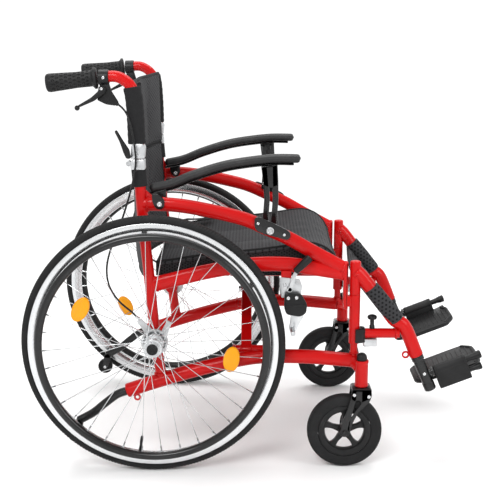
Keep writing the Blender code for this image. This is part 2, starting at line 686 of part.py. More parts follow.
BACK_PIVOT = (-0.0500, -FRAME_Y, 0.7120)


def build_back_hinge():
    """Fixed half of the folding-back hinge: cap on the post and the rear knuckle."""
    y = -FRAME_Y
    return combine([
        prism([(-0.0460, 0.6965), (-0.0140, 0.6965), (-0.0150, 0.7198), (-0.0400, 0.7198),
               (-0.0460, 0.7140)], "y", y - 0.0150, y + 0.0128),
        disc((-0.0500, 0, 0.7105), 0.0065, y - 0.0150, y - 0.0040, 12, "y"),
        prism([(-0.0500, 0.7045), (-0.0440, 0.7030), (-0.0440, 0.7150), (-0.0480, 0.7160)],
              "y", y - 0.0150, y - 0.0040),
    ])


def build_back_latch():
    """Moving half of the hinge: cast collar on the handle tube, and the latch lever."""
    y = -FRAME_Y
    collar = combine([
        prism([(-0.0455, 0.7212), (-0.0150, 0.7212), (-0.0130, 0.7460), (-0.0440, 0.7480)],
              "y", y - 0.0150, y + 0.0140),
        tube(CANE, 0.0131, 11, 10),
    ], "DIFFERENCE")
    foot = tube([(-0.0307, y, 0.7100), (-0.0303, y, 0.7230)], 0.0131, 2, 10)
    return combine([collar, foot], "DIFFERENCE")


LATCH_LEVER_PIVOT = (-0.0480, -0.2640, 0.7250)


def build_latch_lever():
    """Black lever that frees the folding back."""
    return prism([(-0.0435, 0.7230), (-0.0540, 0.7220), (-0.0600, 0.7350), (-0.0680, 0.7600),
                  (-0.0790, 0.7830), (-0.0740, 0.7860), (-0.0620, 0.7650), (-0.0470, 0.7420)],
                 "y", -0.2690, -0.2605)


# ---------------------------------------------------------------- anti-tipper and parking brake
TIPPER_AXLE = (-0.1910, 0.0670)


def build_tipper():
    """Curved anti-tipper tube."""
    return tube(flat(-FRAME_Y, (-0.0700, 0.1732), (-0.0930, 0.1640), (-0.1220, 0.1420),
                     (-0.1500, 0.1190), (-0.1850, 0.0995)), 0.0098, 6, 8)


def build_tipper_fork():
    """Small fork at the end of the anti-tipper tube; joined to the tube."""
    y = -FRAME_Y
    x, z = TIPPER_AXLE
    cheeks = [prism([(x + 0.0090, z + 0.0410), (x - 0.0020, z + 0.0330), (x - 0.0070, z - 0.0050),
                     (x + 0.0030, z - 0.0090), (x + 0.0120, z + 0.0070), (x + 0.0170, z + 0.0310)],
                    "y", a, b)
              for a, b in ((y - 0.0112, y - 0.0088), (y + 0.0088, y + 0.0112))]
    web = prism([(x + 0.0090, z + 0.0410), (x - 0.0020, z + 0.0330), (x - 0.0032, z + 0.0255),
                 (x + 0.0170, z + 0.0255), (x + 0.0170, z + 0.0310)], "y", y - 0.0112, y + 0.0112)
    return combine([build_tipper(), web] + cheeks)


def build_roller():
    """Anti-tipper roller."""
    y = -FRAME_Y
    return turned([(0, y - 0.0082), (0.0180, y - 0.0082), (0.0200, y - 0.0060),
                   (0.0200, y + 0.0060), (0.0180, y + 0.0082), (0, y + 0.0082)],
                  (TIPPER_AXLE[0], 0, TIPPER_AXLE[1]), 18, False)


BRAKE_PIVOT = (0.3090, -0.2600, 0.4280)
SHOE_PIVOT = (0.3290, -0.2660, 0.3650)


def build_brake_base():
    """Parking brake: bolted plate and the black cover below it."""
    plate = prism([(0.2860, 0.4515), (0.3320, 0.4470), (0.3380, 0.4300), (0.3340, 0.4060),
                   (0.2900, 0.4030), (0.2860, 0.4200)], "y", -0.2604, -0.2572)
    cover = prism([(0.2980, 0.4140), (0.3500, 0.4160), (0.3540, 0.4080), (0.3520, 0.3700),
                   (0.3440, 0.3600), (0.3020, 0.3610), (0.2970, 0.3700)], "y", -0.2740, -0.2600)
    notch = box((0.2900, -0.2660, 0.3500), (0.3600, -0.2595, 0.3820))
    heads = [disc((x, 0, z), 0.0042, -0.2625, -0.2600, 8, "y")
             for x, z in ((0.2980, 0.4340), (0.3270, 0.4380))]
    heads += [disc((x, 0, z), 0.0042, -0.2760, -0.2730, 8, "y")
              for x, z in ((0.3060, 0.4060), (0.3245, 0.4070))]
    return combine([combine([plate, cover] + heads), notch], "DIFFERENCE")


def build_brake_lever_park():
    """Parking-brake hand lever with its grip."""
    arm = prism([(0.3040, 0.4200), (0.3130, 0.4190), (0.3240, 0.4560), (0.3290, 0.4660),
                 (0.3220, 0.4700), (0.3150, 0.4590)], "y", -0.2690, -0.2645)
    grip = bar((0.3215, -0.2680, 0.4650), (0.3540, -0.2680, 0.4980), 0.0080, 12)
    pivot = disc((0.3090, 0, 0.4240), 0.0060, -0.2690, -0.2630, 10, "y")
    return combine([arm, grip, pivot])


def build_brake_arm():
    """Parking-brake shoe arm with the roller that presses on the tyre."""
    arm = prism([(0.3200, 0.3790), (0.3380, 0.3790), (0.3410, 0.3600), (0.3330, 0.3400),
                 (0.3220, 0.3230), (0.3120, 0.3220), (0.3110, 0.3370), (0.3200, 0.3540)],
                "y", -0.2655, -0.2615)
    roller = bar((0.3165, -0.2630, 0.3300), (0.3165, -0.3030, 0.3300), 0.0058, 12)
    return combine([arm, roller])


# ---------------------------------------------------------------- brake cable
CABLE = [(-0.0745, -0.2450, 0.8420), (-0.0620, -0.2520, 0.8330), (-0.0510, -0.2620, 0.8200),
         (-0.0430, -0.2690, 0.8000), (-0.0390, -0.2720, 0.7800), (-0.0355, -0.2720, 0.7560),
         (-0.0330, -0.2715, 0.7300), (-0.0340, -0.2700, 0.7050), (-0.0400, -0.2680, 0.6750),
         (-0.0480, -0.2640, 0.6450), (-0.0680, -0.2600, 0.5850), (-0.0960, -0.2580, 0.5150),
         (-0.1060, -0.2580, 0.4700), (-0.1010, -0.2590, 0.4300), (-0.0800, -0.2600, 0.3950),
         (-0.0520, -0.2610, 0.3700), (-0.0380, -0.2670, 0.3580)]


def add_cable(name, side):
    """Brake cable hanging from the brake clamp to the hub brake, as a round cord."""
    points = smooth_path([(x, y * side, z) for x, y, z in CABLE], 38)
    curve = bpy.data.curves.new(name, "CURVE")
    curve.dimensions = "3D"
    curve.bevel_depth = 0.0022
    curve.bevel_resolution = 2
    curve.use_fill_caps = True
    spline = curve.splines.new("POLY")
    spline.points.add(len(points) - 1)
    for slot, (x, y, z) in zip(spline.points, points):
        slot.co = (x, y, z, 1)
    obj = bpy.data.objects.new(name, curve)
    obj.location = (-ORIGIN_X, 0, 0)
    curve.materials.append(material(name, "black"))
    bpy.context.scene.collection.objects.link(obj)


# ---------------------------------------------------------------- folding brace and upholstery
def build_brace(sign, low_x, high_x):
    """One diagonal: hinge sleeve at the base, flat bar, and the seat tube at the top.

    `sign` is +1 for the bar that starts at the right-hand base tube.
    """
    a = np.array([0.0, -sign * BRACE_Y, BRACE_LOW_Z])
    b = np.array([0.0, sign * BRACE_Y, BRACE_TOP_Z])
    way = (b - a) / np.linalg.norm(b - a)
    across = np.array([0.0, -way[2], way[1]])
    corners = []
    for x in (low_x, high_x):
        for p, s in ((a, -0.0095), (b, -0.0095), (b, 0.0095), (a, 0.0095)):
            corners.append(p + s * across + np.array([x, 0, 0]))
    faces = [(0, 3, 2, 1), (4, 5, 6, 7), (0, 1, 5, 4), (1, 2, 6, 5), (2, 3, 7, 6), (3, 0, 4, 7)]
    diagonal = finish_mesh(corners, faces)
    sleeve = bar((0.1844, a[1], a[2]), (0.2616, a[1], a[2]), 0.0108, 12)
    seat_tube = bar((0.0850, b[1], b[2]), (0.4000, b[1], b[2]), 0.0108, 12)
    return combine([sleeve, seat_tube, diagonal])


SEAT_Y = 0.2260
SEAT_TOP = [(0.012, 0.4795), (0.050, 0.4850), (0.105, 0.4940), (0.190, 0.5030), (0.270, 0.5120),
            (0.350, 0.5230), (0.385, 0.5160), (0.410, 0.4970), (0.428, 0.4650)]


def build_seat():
    """Seat upholstery: a slung pad with a hump before its front edge."""
    thick = 0.0125
    top = smooth_path([(x, 0, z) for x, z in SEAT_TOP], 10)
    way = np.gradient(top, axis=0)
    way /= np.linalg.norm(way, axis=1)[:, None]
    down = np.stack([way[:, 2], 0 * way[:, 2], -way[:, 0]], 1)
    low = top + thick * down
    outline = [(p[0], p[2]) for p in top] + [(p[0], p[2]) for p in low[::-1]]
    return prism(outline, "y", -SEAT_Y, SEAT_Y)


def back_shell(z_low, z_high, x_low, x_high, width, sag, thick):
    """Curved upholstery panel between two heights, dished backward by `sag` in the middle."""
    front, columns = [], 9
    for z, x in ((z_low, x_low), (z_high, x_high)):
        row = []
        for i in range(columns):
            v = -1 + 2 * i / (columns - 1)
            row.append((x - sag * (1 - v * v), v * width, z))
        front.append(row)
    verts = []
    for row in front:
        verts += row
        verts += [(x - thick, y, z) for x, y, z in row]
    faces = []
    n = columns
    lf, lb, hf, hb = 0, n, 2 * n, 3 * n
    for i in range(n - 1):
        faces += [(lf + i, lf + i + 1, hf + i + 1, hf + i), (lb + i, hb + i, hb + i + 1, lb + i + 1),
                  (lf + i, lb + i, lb + i + 1, lf + i + 1), (hf + i, hf + i + 1, hb + i + 1, hb + i)]
    faces += [(lf, hf, hb, lb), (lf + n - 1, lb + n - 1, hb + n - 1, hf + n - 1)]
    return finish_mesh(verts, faces)


def build_centre():
    """Braces, their pivot bolt, seat and back upholstery."""
    bolt = bar((0.1905, 0, 0.357), (0.2000, 0, 0.357), 0.0075, 12)
    a = combine([build_brace(1, 0.1975, 0.2225), bolt])
    nut = bar((0.2450, 0, 0.357), (0.2560, 0, 0.357), 0.0075, 12)
    b = combine([build_brace(-1, 0.2231, 0.2480), nut])
    add_node("brace_a", a, "red", (0.223, -BRACE_Y, BRACE_LOW_Z))
    add_node("brace_b", b, "red", (0.223, 0, 0.357))
    add_node("seat", build_seat(), "fabric", (0.21, -BRACE_Y, BRACE_TOP_Z))
    lower = back_shell(0.448, 0.694, -0.0040, -0.0190, 0.2310, 0.040, 0.0090)
    upper_mid = back_shell(0.7250, 0.8830, -0.0170, -0.0200, 0.2290, 0.034, 0.0110)
    add_node("back_lower", lower, "fabric")
    add_node("back_upper", upper_mid, "fabric", BACK_PIVOT)


def main():
    """Builds every node of the chair."""
    clear_scene()
    add_pair("side_frame", build_frame(), "red")
    add_pair("rear_wheel", build_wheel(), "rim", (0, -WHEEL_Y, WHEEL_R))
    add_pair("rear_tyre", build_tyre(), "rubber", (0, -WHEEL_Y, WHEEL_R))
    add_pair("handrim", build_handrim(), "black", (0, -WHEEL_Y, WHEEL_R))
    add_pair("brake_drum", build_drum(), "silver", (0, -FRAME_Y, WHEEL_R))
    add_pair("caster_fork", build_fork(), "black", (CASTER_STEM_X, -CASTER_Y, 0.1957))
    add_pair("caster_wheel", build_caster_rim(), "black", (CASTER_X, -CASTER_Y, CASTER_R))
    add_pair("caster_tyre", build_caster_tyre(), "rubber", (CASTER_X, -CASTER_Y, CASTER_R))
    add_pair("hanger", build_hanger(), "red", (HANGER_X, -FRAME_Y, 0.4088))
    add_pair("hanger_latch", build_latch(), "black", (HANGER_X, -FRAME_Y, 0.31))
    add_pair("latch_knob", build_knob(), "black", (0.5005, -FRAME_Y, 0.3268))
    add_pair("leg_tube", build_leg(), "black", tuple(LEG_TOP))
    add_pair("footplate", build_footplate(), "black", tuple(PLATE_O))
    add_pair("calf_strap", build_strap(), "fabric", (HANGER_X, -FRAME_Y, 0.4088))
    add_pair("armrest_pad", build_pad(), "rubber", ARM_PIVOT)
    add_pair("armrest_bar", build_arm_bar(), "black", ARM_PIVOT)
    add_pair("handle_tube", build_cane(), "red", BACK_PIVOT)
    add_pair("grip", build_grip(), "rubber", BACK_PIVOT)
    add_pair("brake_lever", build_brake_lever(), "black", LEVER_PIVOT)
    add_pair("back_latch", build_back_latch(), "silver", BACK_PIVOT)
    add_pair("latch_lever", build_latch_lever(), "black", LATCH_LEVER_PIVOT)
    add_pair("anti_tipper", build_tipper_fork(), "black", (-0.0700, -FRAME_Y, 0.1732))
    add_pair("tipper_roller", build_roller(), "rubber", (TIPPER_AXLE[0], -FRAME_Y, TIPPER_AXLE[1]))
    add_pair("park_brake", build_brake_base(), "silver")
    add_pair("park_lever", build_brake_lever_park(), "black", BRAKE_PIVOT)
    add_pair("park_shoe", build_brake_arm(), "silver", SHOE_PIVOT)
    add_cable("brake_cable_right", 1)
    add_cable("brake_cable_left", -1)
    build_centre()


main()
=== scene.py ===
"""Looks of a folding manual wheelchair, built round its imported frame.

Lengths are metres.  +X is forward, +Y the chair's left, +Z up, and the floor is Z = 0.  Shapes are
written with X measured from the rear axle and shifted once, by AXLE_X, when they become objects.
Every right-hand piece is drawn once and mirrored across Y = 0 for the left-hand one.
"""
import math
from dataclasses import dataclass, field
from enum import Enum
from typing import Optional, Sequence, Union

import bpy
import numpy as np
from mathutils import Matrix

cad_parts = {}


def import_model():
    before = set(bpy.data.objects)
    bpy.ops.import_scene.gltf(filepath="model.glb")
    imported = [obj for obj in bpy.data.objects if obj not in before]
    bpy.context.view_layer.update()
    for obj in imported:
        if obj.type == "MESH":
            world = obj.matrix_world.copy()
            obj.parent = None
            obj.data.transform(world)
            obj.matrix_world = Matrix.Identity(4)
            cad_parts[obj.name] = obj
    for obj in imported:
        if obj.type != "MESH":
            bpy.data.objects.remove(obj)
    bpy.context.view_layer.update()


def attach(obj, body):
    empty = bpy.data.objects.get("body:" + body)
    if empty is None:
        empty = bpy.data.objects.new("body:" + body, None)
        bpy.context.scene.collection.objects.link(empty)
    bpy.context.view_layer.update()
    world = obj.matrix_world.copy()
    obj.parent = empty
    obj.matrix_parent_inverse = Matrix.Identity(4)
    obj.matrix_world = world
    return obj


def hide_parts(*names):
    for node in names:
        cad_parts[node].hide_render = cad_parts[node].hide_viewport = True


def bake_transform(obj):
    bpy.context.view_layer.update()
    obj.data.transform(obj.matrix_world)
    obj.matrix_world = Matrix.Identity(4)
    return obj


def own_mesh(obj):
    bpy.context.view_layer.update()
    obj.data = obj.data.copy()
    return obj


Array = np.ndarray
Number = Union[float, int]

# ------------------------------------------------------------------ driving dimensions
AXLE_X = -0.23165
FRAME_Y = -0.245
FOLD_TRAVEL = 0.1248
WHEEL_Y = -0.292
HUB_Z = 0.300
CASTER_Y = -0.268
CASTER_X = 0.4390
CASTER_Z = 0.0872
STEM_X = 0.4765
HANGER_X = 0.4595
LEG_TOP = np.array([0.6055, FRAME_Y, 0.2615])
LEG_SLOPE = -66.5
PLATE_O = np.array([0.6475, FRAME_Y, 0.2237])
PLATE_SLOPE = 21.5
ARM_Y = -0.2120
UP_Y = np.array([0.0, 1.0, 0.0])
FINE = 24
CLOTH_CREASE = 75.0


class Side(Enum):
    """Which half of the chair a piece belongs to."""

    RIGHT = "right"
    LEFT = "left"

    @property
    def sign(self) -> float:
        """Returns: +1 for the side the shapes are drawn on, -1 for its mirror image."""
        return 1.0 if self is Side.RIGHT else -1.0


class Axis(Enum):
    """Axis that a turned or extruded shape runs along."""

    X = 0
    Y = 1
    Z = 2


# ------------------------------------------------------------------ mesh data
@dataclass
class Shell:
    """Closed surface held as arrays until it becomes an object.

    Args:
        verts: vertex places, one row each.
        quads: four vertex numbers a row.
        caps: longer polygons, each an array of vertex numbers.
    """

    verts: Array
    quads: Array
    caps: list[Array] = field(default_factory=list)

    def volume(self) -> float:
        """Returns: signed volume, from the tetrahedra between each face and the origin."""
        corners = self.verts[self.quads]
        total = np.einsum("ij,ij->", corners[:, 0], np.cross(corners[:, 1], corners[:, 2]))
        total += np.einsum("ij,ij->", corners[:, 0], np.cross(corners[:, 2], corners[:, 3]))
        for cap in self.caps:
            ring = self.verts[cap]
            total += np.einsum("ij,ij->", np.broadcast_to(ring[0], ring[1:-1].shape),
                               np.cross(ring[1:-1], ring[2:]))
        return float(total) / 6.0

    def flipped(self) -> "Shell":
        """Returns: the same surface with every face turned over."""
        return Shell(self.verts, self.quads[:, ::-1], [cap[::-1] for cap in self.caps])

    def outward(self) -> "Shell":
        """Returns: the surface with its faces turned outward."""
        return self if self.volume() >= 0 else self.flipped()

    def mirrored(self) -> "Shell":
        """Returns: the mirror image across Y = 0."""
        return Shell(self.verts * (1.0, -1.0, 1.0), self.quads, self.caps).flipped()

    def on(self, side: Side) -> "Shell":
        """Args: side: where the piece goes.  Returns: this shell or its mirror image."""
        return self if side is Side.RIGHT else self.mirrored()

    @staticmethod
    def join(parts: Sequence["Shell"]) -> "Shell":
        """Args: parts: shells.  Returns: one shell that holds them all."""
        starts = np.cumsum([0] + [len(part.verts) for part in parts[:-1]])
        caps = [cap + start for part, start in zip(parts, starts) for cap in part.caps]
        return Shell(np.vstack([part.verts for part in parts]),
                     np.vstack([part.quads + start for part, start in zip(parts, starts)]), caps)

    def to_object(self, name: str, material: bpy.types.Material, sharp: float = 38.0
                  ) -> bpy.types.Object:
        """Makes the scene object.

        Args:
            name: object name.
            material: its finish.
            sharp: crease angle in degrees above which an edge is drawn hard.
        Returns: the object, at the origin.
        """
        mesh = bpy.data.meshes.new(name)
        faces = self.quads.tolist() + [cap.tolist() for cap in self.caps]
        mesh.from_pydata((self.verts + np.array([AXLE_X, 0.0, 0.0])).tolist(), [], faces)
        mesh.materials.append(material)
        mesh.polygons.foreach_set("use_smooth", np.ones(len(mesh.polygons), bool))
        mesh.set_sharp_from_angle(angle=math.radians(sharp))
        mesh.update()
        obj = bpy.data.objects.new(name, mesh)
        bpy.context.scene.collection.objects.link(obj)
        return obj


def turns(count: int) -> Array:
    """Args: count: how many.  Returns: that many even angles round a circle, in radians."""
    return np.arange(count) * 2 * math.pi / count


def heading(degrees: float) -> Array:
    """Args: degrees: angle from +X towards +Z.  Returns: that direction, square to Y."""
    return np.array([math.cos(math.radians(degrees)), 0.0, math.sin(math.radians(degrees))])


def tangents(path: Array) -> Array:
    """Args: path: places along a curve.  Returns: the curve's unit direction at each."""
    way = np.gradient(path, axis=0)
    return way / np.linalg.norm(way, axis=1, keepdims=True)


def loft(rings: Array, closed: bool = False) -> Shell:
    """Skins a grid of points: quads join each ring to the next, flat polygons close both ends.

    Args:
        rings: places, shaped (rings, points round a ring, 3).
        closed: joins the last ring to the first instead of closing the ends.
    Returns: the closed surface, faces outward.
    """
    rows, cols = rings.shape[:2]
    row = np.arange(rows if closed else rows - 1)[:, None]
    col = np.arange(cols)[None, :]
    after, right = (row + 1) % rows, (col + 1) % cols
    quads = np.stack([row * cols + col, row * cols + right, after * cols + right,
                      after * cols + col], -1).reshape(-1, 4)
    caps = [] if closed else [np.arange(cols)[::-1], np.arange(cols) + (rows - 1) * cols]
    return Shell(rings.reshape(-1, 3), quads, caps).outward()


def fillet(points: Array, radius: float, steps: int = 4, closed: bool = True) -> Array:
    """Rounds the corners of a polyline with short quadratic curves.

    Each corner is replaced by the curve from `radius` before it to `radius` after it, never more
    than 45 % of the neighbouring edge, with the corner itself as the control point.

    Args:
        points: corners, one row each.
        radius: how far from the corner the rounding begins.
        steps: points on each curve.
        closed: whether the last corner joins the first.
    Returns: the rounded polyline.
    """
    corners = np.asarray(points, float)
    before = np.roll(corners, 1, 0) - corners
    after = np.roll(corners, -1, 0) - corners
    lengths = [np.maximum(np.linalg.norm(way, axis=1, keepdims=True), 1e-9)
               for way in (before, after)]
    first = corners + before * np.minimum(radius / lengths[0], 0.45)
    last = corners + after * np.minimum(radius / lengths[1], 0.45)
    t = np.linspace(0, 1, steps)[None, :, None]
    curve = ((1 - t) ** 2 * first[:, None] + 2 * t * (1 - t) * corners[:, None]
             + t ** 2 * last[:, None])
    if closed:
        return curve.reshape(-1, corners.shape[1])
    inner = curve[1:-1].reshape(-1, corners.shape[1])
    return np.vstack([corners[:1], inner, corners[-1:]])


def spline(points: Sequence[Sequence[float]], count: int) -> Array:
    """Evenly spaced points on the Catmull-Rom curve through `points`.

    Args:
        points: places the curve passes through.
        count: how many points to return.
    Returns: (count, 3) places.
    """
    pts = np.asarray(points, float)
    ext = np.vstack([2 * pts[0] - pts[1], pts, 2 * pts[-1] - pts[-2]])
    t = np.linspace(0, 1, 24, endpoint=False)[None, :, None]
    a, b, c, d = (ext[i:len(ext) - 3 + i, None] for i in range(4))
    dense = 0.5 * (2 * b + (c - a) * t + (2 * a - 5 * b + 4 * c - d) * t ** 2
                   + (3 * b - a - 3 * c + d) * t ** 3)
    dense = np.vstack([dense.reshape(-1, pts.shape[1]), pts[-1:]])
    run = np.r_[0, np.cumsum(np.linalg.norm(np.diff(dense, axis=0), axis=1))]
    want = np.linspace(0, run[-1], count)
    return np.stack([np.interp(want, run, dense[:, k]) for k in range(pts.shape[1])], 1)


def sweep(points: Sequence[Sequence[float]], radius: Number, depth: Optional[float] = None,
          count: int = 0, sides: int = FINE, across: Sequence[float] = (0, 1, 0),
          round_end: float = 0.0015, swell: Optional[Array] = None) -> Shell:
    """Round or oval bar along a path.

    The ring at each path point is centre + radius cos(a) side + depth sin(a) normal, where side
    is `across` made square to the path.  Both ends are rounded over `round_end`.

    Args:
        points: the path's own points.
        radius: half size along `across`.
        depth: half size square to it; the same as `radius` if left out.
        count: points on the smoothed path; 0 keeps the given ones.
        sides: points round the bar.
        across: direction of the first half size.
        round_end: size of the rounding at the ends.
        swell: optional share of the size at evenly spaced stations.
    Returns: the closed bar.
    """
    path = np.asarray(points, float) if not count else spline(points, count)
    way = tangents(path)
    side = np.asarray(across, float) - (way @ np.asarray(across, float))[:, None] * way
    side /= np.linalg.norm(side, axis=1, keepdims=True)
    normal = np.cross(side, way)
    size = np.ones(len(path)) if swell is None else np.interp(
        np.linspace(0, 1, len(path)), np.linspace(0, 1, len(swell)), swell)
    depth = radius if depth is None else depth
    turn = np.array([0.0, 0.35, 0.7, 1.0]) * math.pi / 2
    inset = round_end * (1 - np.sin(turn))
    along = round_end * (1 - np.cos(turn))
    path = np.vstack([path[:1] + along[:3, None] * way[:1], path[:1] + along[3:, None] * way[:1],
                      path[1:-1], path[-1:] - along[3:, None] * way[-1:],
                      path[-1:] - along[2::-1, None] * way[-1:]])
    side = np.vstack([side[:1].repeat(4, 0), side[1:-1], side[-1:].repeat(4, 0)])
    normal = np.vstack([normal[:1].repeat(4, 0), normal[1:-1], normal[-1:].repeat(4, 0)])
    size = np.r_[size[:1].repeat(4), size[1:-1], size[-1:].repeat(4)]
    shrink = np.zeros(len(path))
    shrink[:4], shrink[-4:] = inset, inset[::-1]
    angle = turns(sides)
    wide = (radius * size - shrink)[:, None, None] * np.cos(angle)[None, :, None]
    deep = (depth * size - shrink)[:, None, None] * np.sin(angle)[None, :, None]
    return loft(path[:, None] + wide * side[:, None] + deep * normal[:, None])


def rod(start: Sequence[float], end: Sequence[float], radius: float, sides: int = FINE,
        round_end: float = 0.0008) -> Shell:
    """Straight round bar.  Args: its two ends and radius.  Returns: the closed bar."""
    a, b = np.asarray(start, float), np.asarray(end, float)
    way = (b - a) / np.linalg.norm(b - a)
    across = (0, 1, 0) if abs(way[1]) < 0.9 else (0, 0, 1)
    return sweep(np.linspace(a, b, 3), radius, sides=sides, across=across, round_end=round_end)


def revolve(profile: Sequence[Sequence[float]], centre: Sequence[float], axis: Axis = Axis.Y,
            steps: int = 64, closed: bool = False, rounding: float = 0.0,
            bump: Optional[Array] = None) -> Shell:
    """Body of revolution.

    A profile point (r, s) traces r cos(a), r sin(a) round the axis at height s.

    Args:
        profile: (radius, place along the axis) corners.
        centre: a point on the axis.
        axis: which axis it turns about.
        steps: points round the turn.
        closed: whether the profile is a loop, as for a ring.
        rounding: corner rounding of the profile.
        bump: extra radius, shaped (points of the rounded profile, steps).
    Returns: the closed body.
    """
    line = np.asarray(profile, float)
    if rounding:
        line = fillet(line, rounding, 4, closed)
    angle = turns(steps)
    radius = np.maximum(line[:, :1], 2e-5) + (0.0 if bump is None else bump)
    c, s = radius * np.cos(angle), radius * np.sin(angle)
    up = np.broadcast_to(line[:, 1:2], c.shape)
    order = {Axis.X: (up, c, s), Axis.Y: (c, up, s), Axis.Z: (c, s, up)}[axis]
    base = np.asarray(centre, float).copy()
    base[axis.value] = 0.0
    return loft(np.stack(order, -1) + base, closed)


def inset_loop(loop: Array, amount: float) -> Array:
    """Moves a closed outline inward.

    Args: loop: (points, 2) outline; amount: distance.  Returns: the moved outline.
    """
    ahead = np.roll(loop, -1, 0)
    area = 0.5 * np.sum(loop[:, 0] * ahead[:, 1] - loop[:, 1] * ahead[:, 0])
    tangent = ahead - np.roll(loop, 1, 0)
    tangent /= np.maximum(np.linalg.norm(tangent, axis=1, keepdims=True), 1e-12)
    inward = np.stack([-tangent[:, 1], tangent[:, 0]], 1) * math.copysign(1.0, area)
    return loop + inward * amount


def plate(outline: Sequence[Sequence[float]], axis: Axis, low: float, high: float,
          corner: float = 0.002, edge: float = 0.0006) -> Shell:
    """Flat plate with rounded corners and softened edges.

    Args:
        outline: corners in the plane across `axis`.
        axis: direction of the thickness.
        low: lower face.
        high: upper face.
        corner: rounding of the outline's corners.
        edge: size of the softened edge.
    Returns: the closed plate.
    """
    loop = fillet(np.asarray(outline, float), corner, 4)
    insets = [edge, edge * 0.3, 0.0, 0.0, edge * 0.3, edge]
    heights = [low, low + edge * 0.3, low + edge, high - edge, high - edge * 0.3, high]
    rings = np.stack([inset_loop(loop, amount) for amount in insets])
    up = np.broadcast_to(np.asarray(heights)[:, None], rings.shape[:2])
    a, b = rings[..., 0], rings[..., 1]
    order = {Axis.X: (up, a, b), Axis.Y: (a, up, b), Axis.Z: (a, b, up)}[axis]
    return loft(np.stack(order, -1))


def drum(centre: Sequence[float], axis: Axis, radius: float, low: float, high: float,
         steps: int = 40, rounding: float = 0.0012) -> Shell:
    """Turned cylinder with rounded edges.

    Args: a point on its axis; the axis; radius; where it starts and ends; points round; rounding.
    Returns: the closed cylinder.
    """
    return revolve([(0, low), (radius, low), (radius, high), (0, high)], centre, axis, steps,
                   rounding=rounding)


def bolt(centre: Sequence[float], axis: Axis, height: float, radius: float = 0.004) -> Shell:
    """Domed screw head with a socket.

    Args: centre of its seat; axis; signed height it stands out; radius.  Returns: the head.
    """
    base = centre[axis.value]
    top = base + height
    root, rim, socket = base - height * 0.3, base + height * 0.45, base + height * 0.35
    profile = [(0, root), (radius, root), (radius, rim), (radius * 0.82, top),
               (radius * 0.42, top), (radius * 0.40, socket), (0, socket)]
    return revolve(profile, centre, axis, 20, rounding=0.0003)


def weld(centre: Sequence[float], way: Sequence[float], radius: float, depth: float = 0.0,
         thick: float = 0.0022) -> Shell:
    """Rippled weld bead round a tube.

    A ring whose own small radius is thick (1 + 0.18 cos(26 a)) at angle a round the tube.

    Args: centre and direction of the tube; radius (and depth, if oval); thickness of the bead.
    Returns: the ring.
    """
    way = np.asarray(way, float) / np.linalg.norm(way)
    normal = np.cross(UP_Y, way)
    a = turns(72)[:, None, None]
    b = turns(8)[None, :, None]
    out = np.cos(a) * UP_Y * radius + np.sin(a) * normal * (depth or radius)
    unit = out / np.linalg.norm(out, axis=-1, keepdims=True)
    small = thick * (1 + 0.18 * np.cos(26 * a))
    bead = small * (np.cos(b) * unit + np.sin(b) * way)
    return loft(np.asarray(centre, float) + out + bead, True)


LEG_DIR = heading(LEG_SLOPE)
PLATE_U = heading(PLATE_SLOPE)
PLATE_W = heading(PLATE_SLOPE + 90)


# ------------------------------------------------------------------ shader maths
class Sock:
    """Output socket of a shader graph with arithmetic on it."""

    def __init__(self, graph: "Graph", socket: bpy.types.NodeSocket) -> None:
        """Args: graph: the graph it belongs to; socket: the wrapped output."""
        self.graph = graph
        self.socket = socket

    def _math(self, operation: str, *others: Union["Sock", Number]) -> "Sock":
        """Args: operation: maths node's name; others: further inputs.  Returns: the result."""
        node = self.graph.add("ShaderNodeMath", operation=operation)
        for place, value in zip(node.inputs, (self, *others)):
            self.graph.feed(place, value)
        return Sock(self.graph, node.outputs[0])

    def __add__(self, other: Union["Sock", Number]) -> "Sock":
        return self._math("ADD", other)

    def __sub__(self, other: Union["Sock", Number]) -> "Sock":
        return self._math("SUBTRACT", other)

    def __rsub__(self, other: Number) -> "Sock":
        return self * -1.0 + other

    def __mul__(self, other: Union["Sock", Number]) -> "Sock":
        return self._math("MULTIPLY", other)

    def __truediv__(self, other: Union["Sock", Number]) -> "Sock":
        return self._math("DIVIDE", other)

    __radd__ = __add__
    __rmul__ = __mul__

    def sin(self) -> "Sock":
        """Returns: sine."""
        return self._math("SINE")

    def cos(self) -> "Sock":
        """Returns: cosine."""
        return self._math("COSINE")

    def wave(self, period: float) -> "Sock":
        """Args: period: its length in metres.  Returns: sine of that period."""
        return (self * (2 * math.pi / period)).sin()

    def abs(self) -> "Sock":
        """Returns: size without sign."""
        return self._math("ABSOLUTE")

    def maximum(self, other: Union["Sock", Number]) -> "Sock":
        """Args: other: second value.  Returns: the larger."""
        return self._math("MAXIMUM", other)

    def step(self, low: float, high: float) -> "Sock":
        """Smooth rise.  Args: where it leaves 0 and reaches 1.  Returns: 0 to 1."""
        node = self.graph.add("ShaderNodeMapRange", interpolation_type="SMOOTHSTEP")
        self.graph.feed(node.inputs[0], self)
        node.inputs[1].default_value = low
        node.inputs[2].default_value = high
        return Sock(self.graph, node.outputs[0])


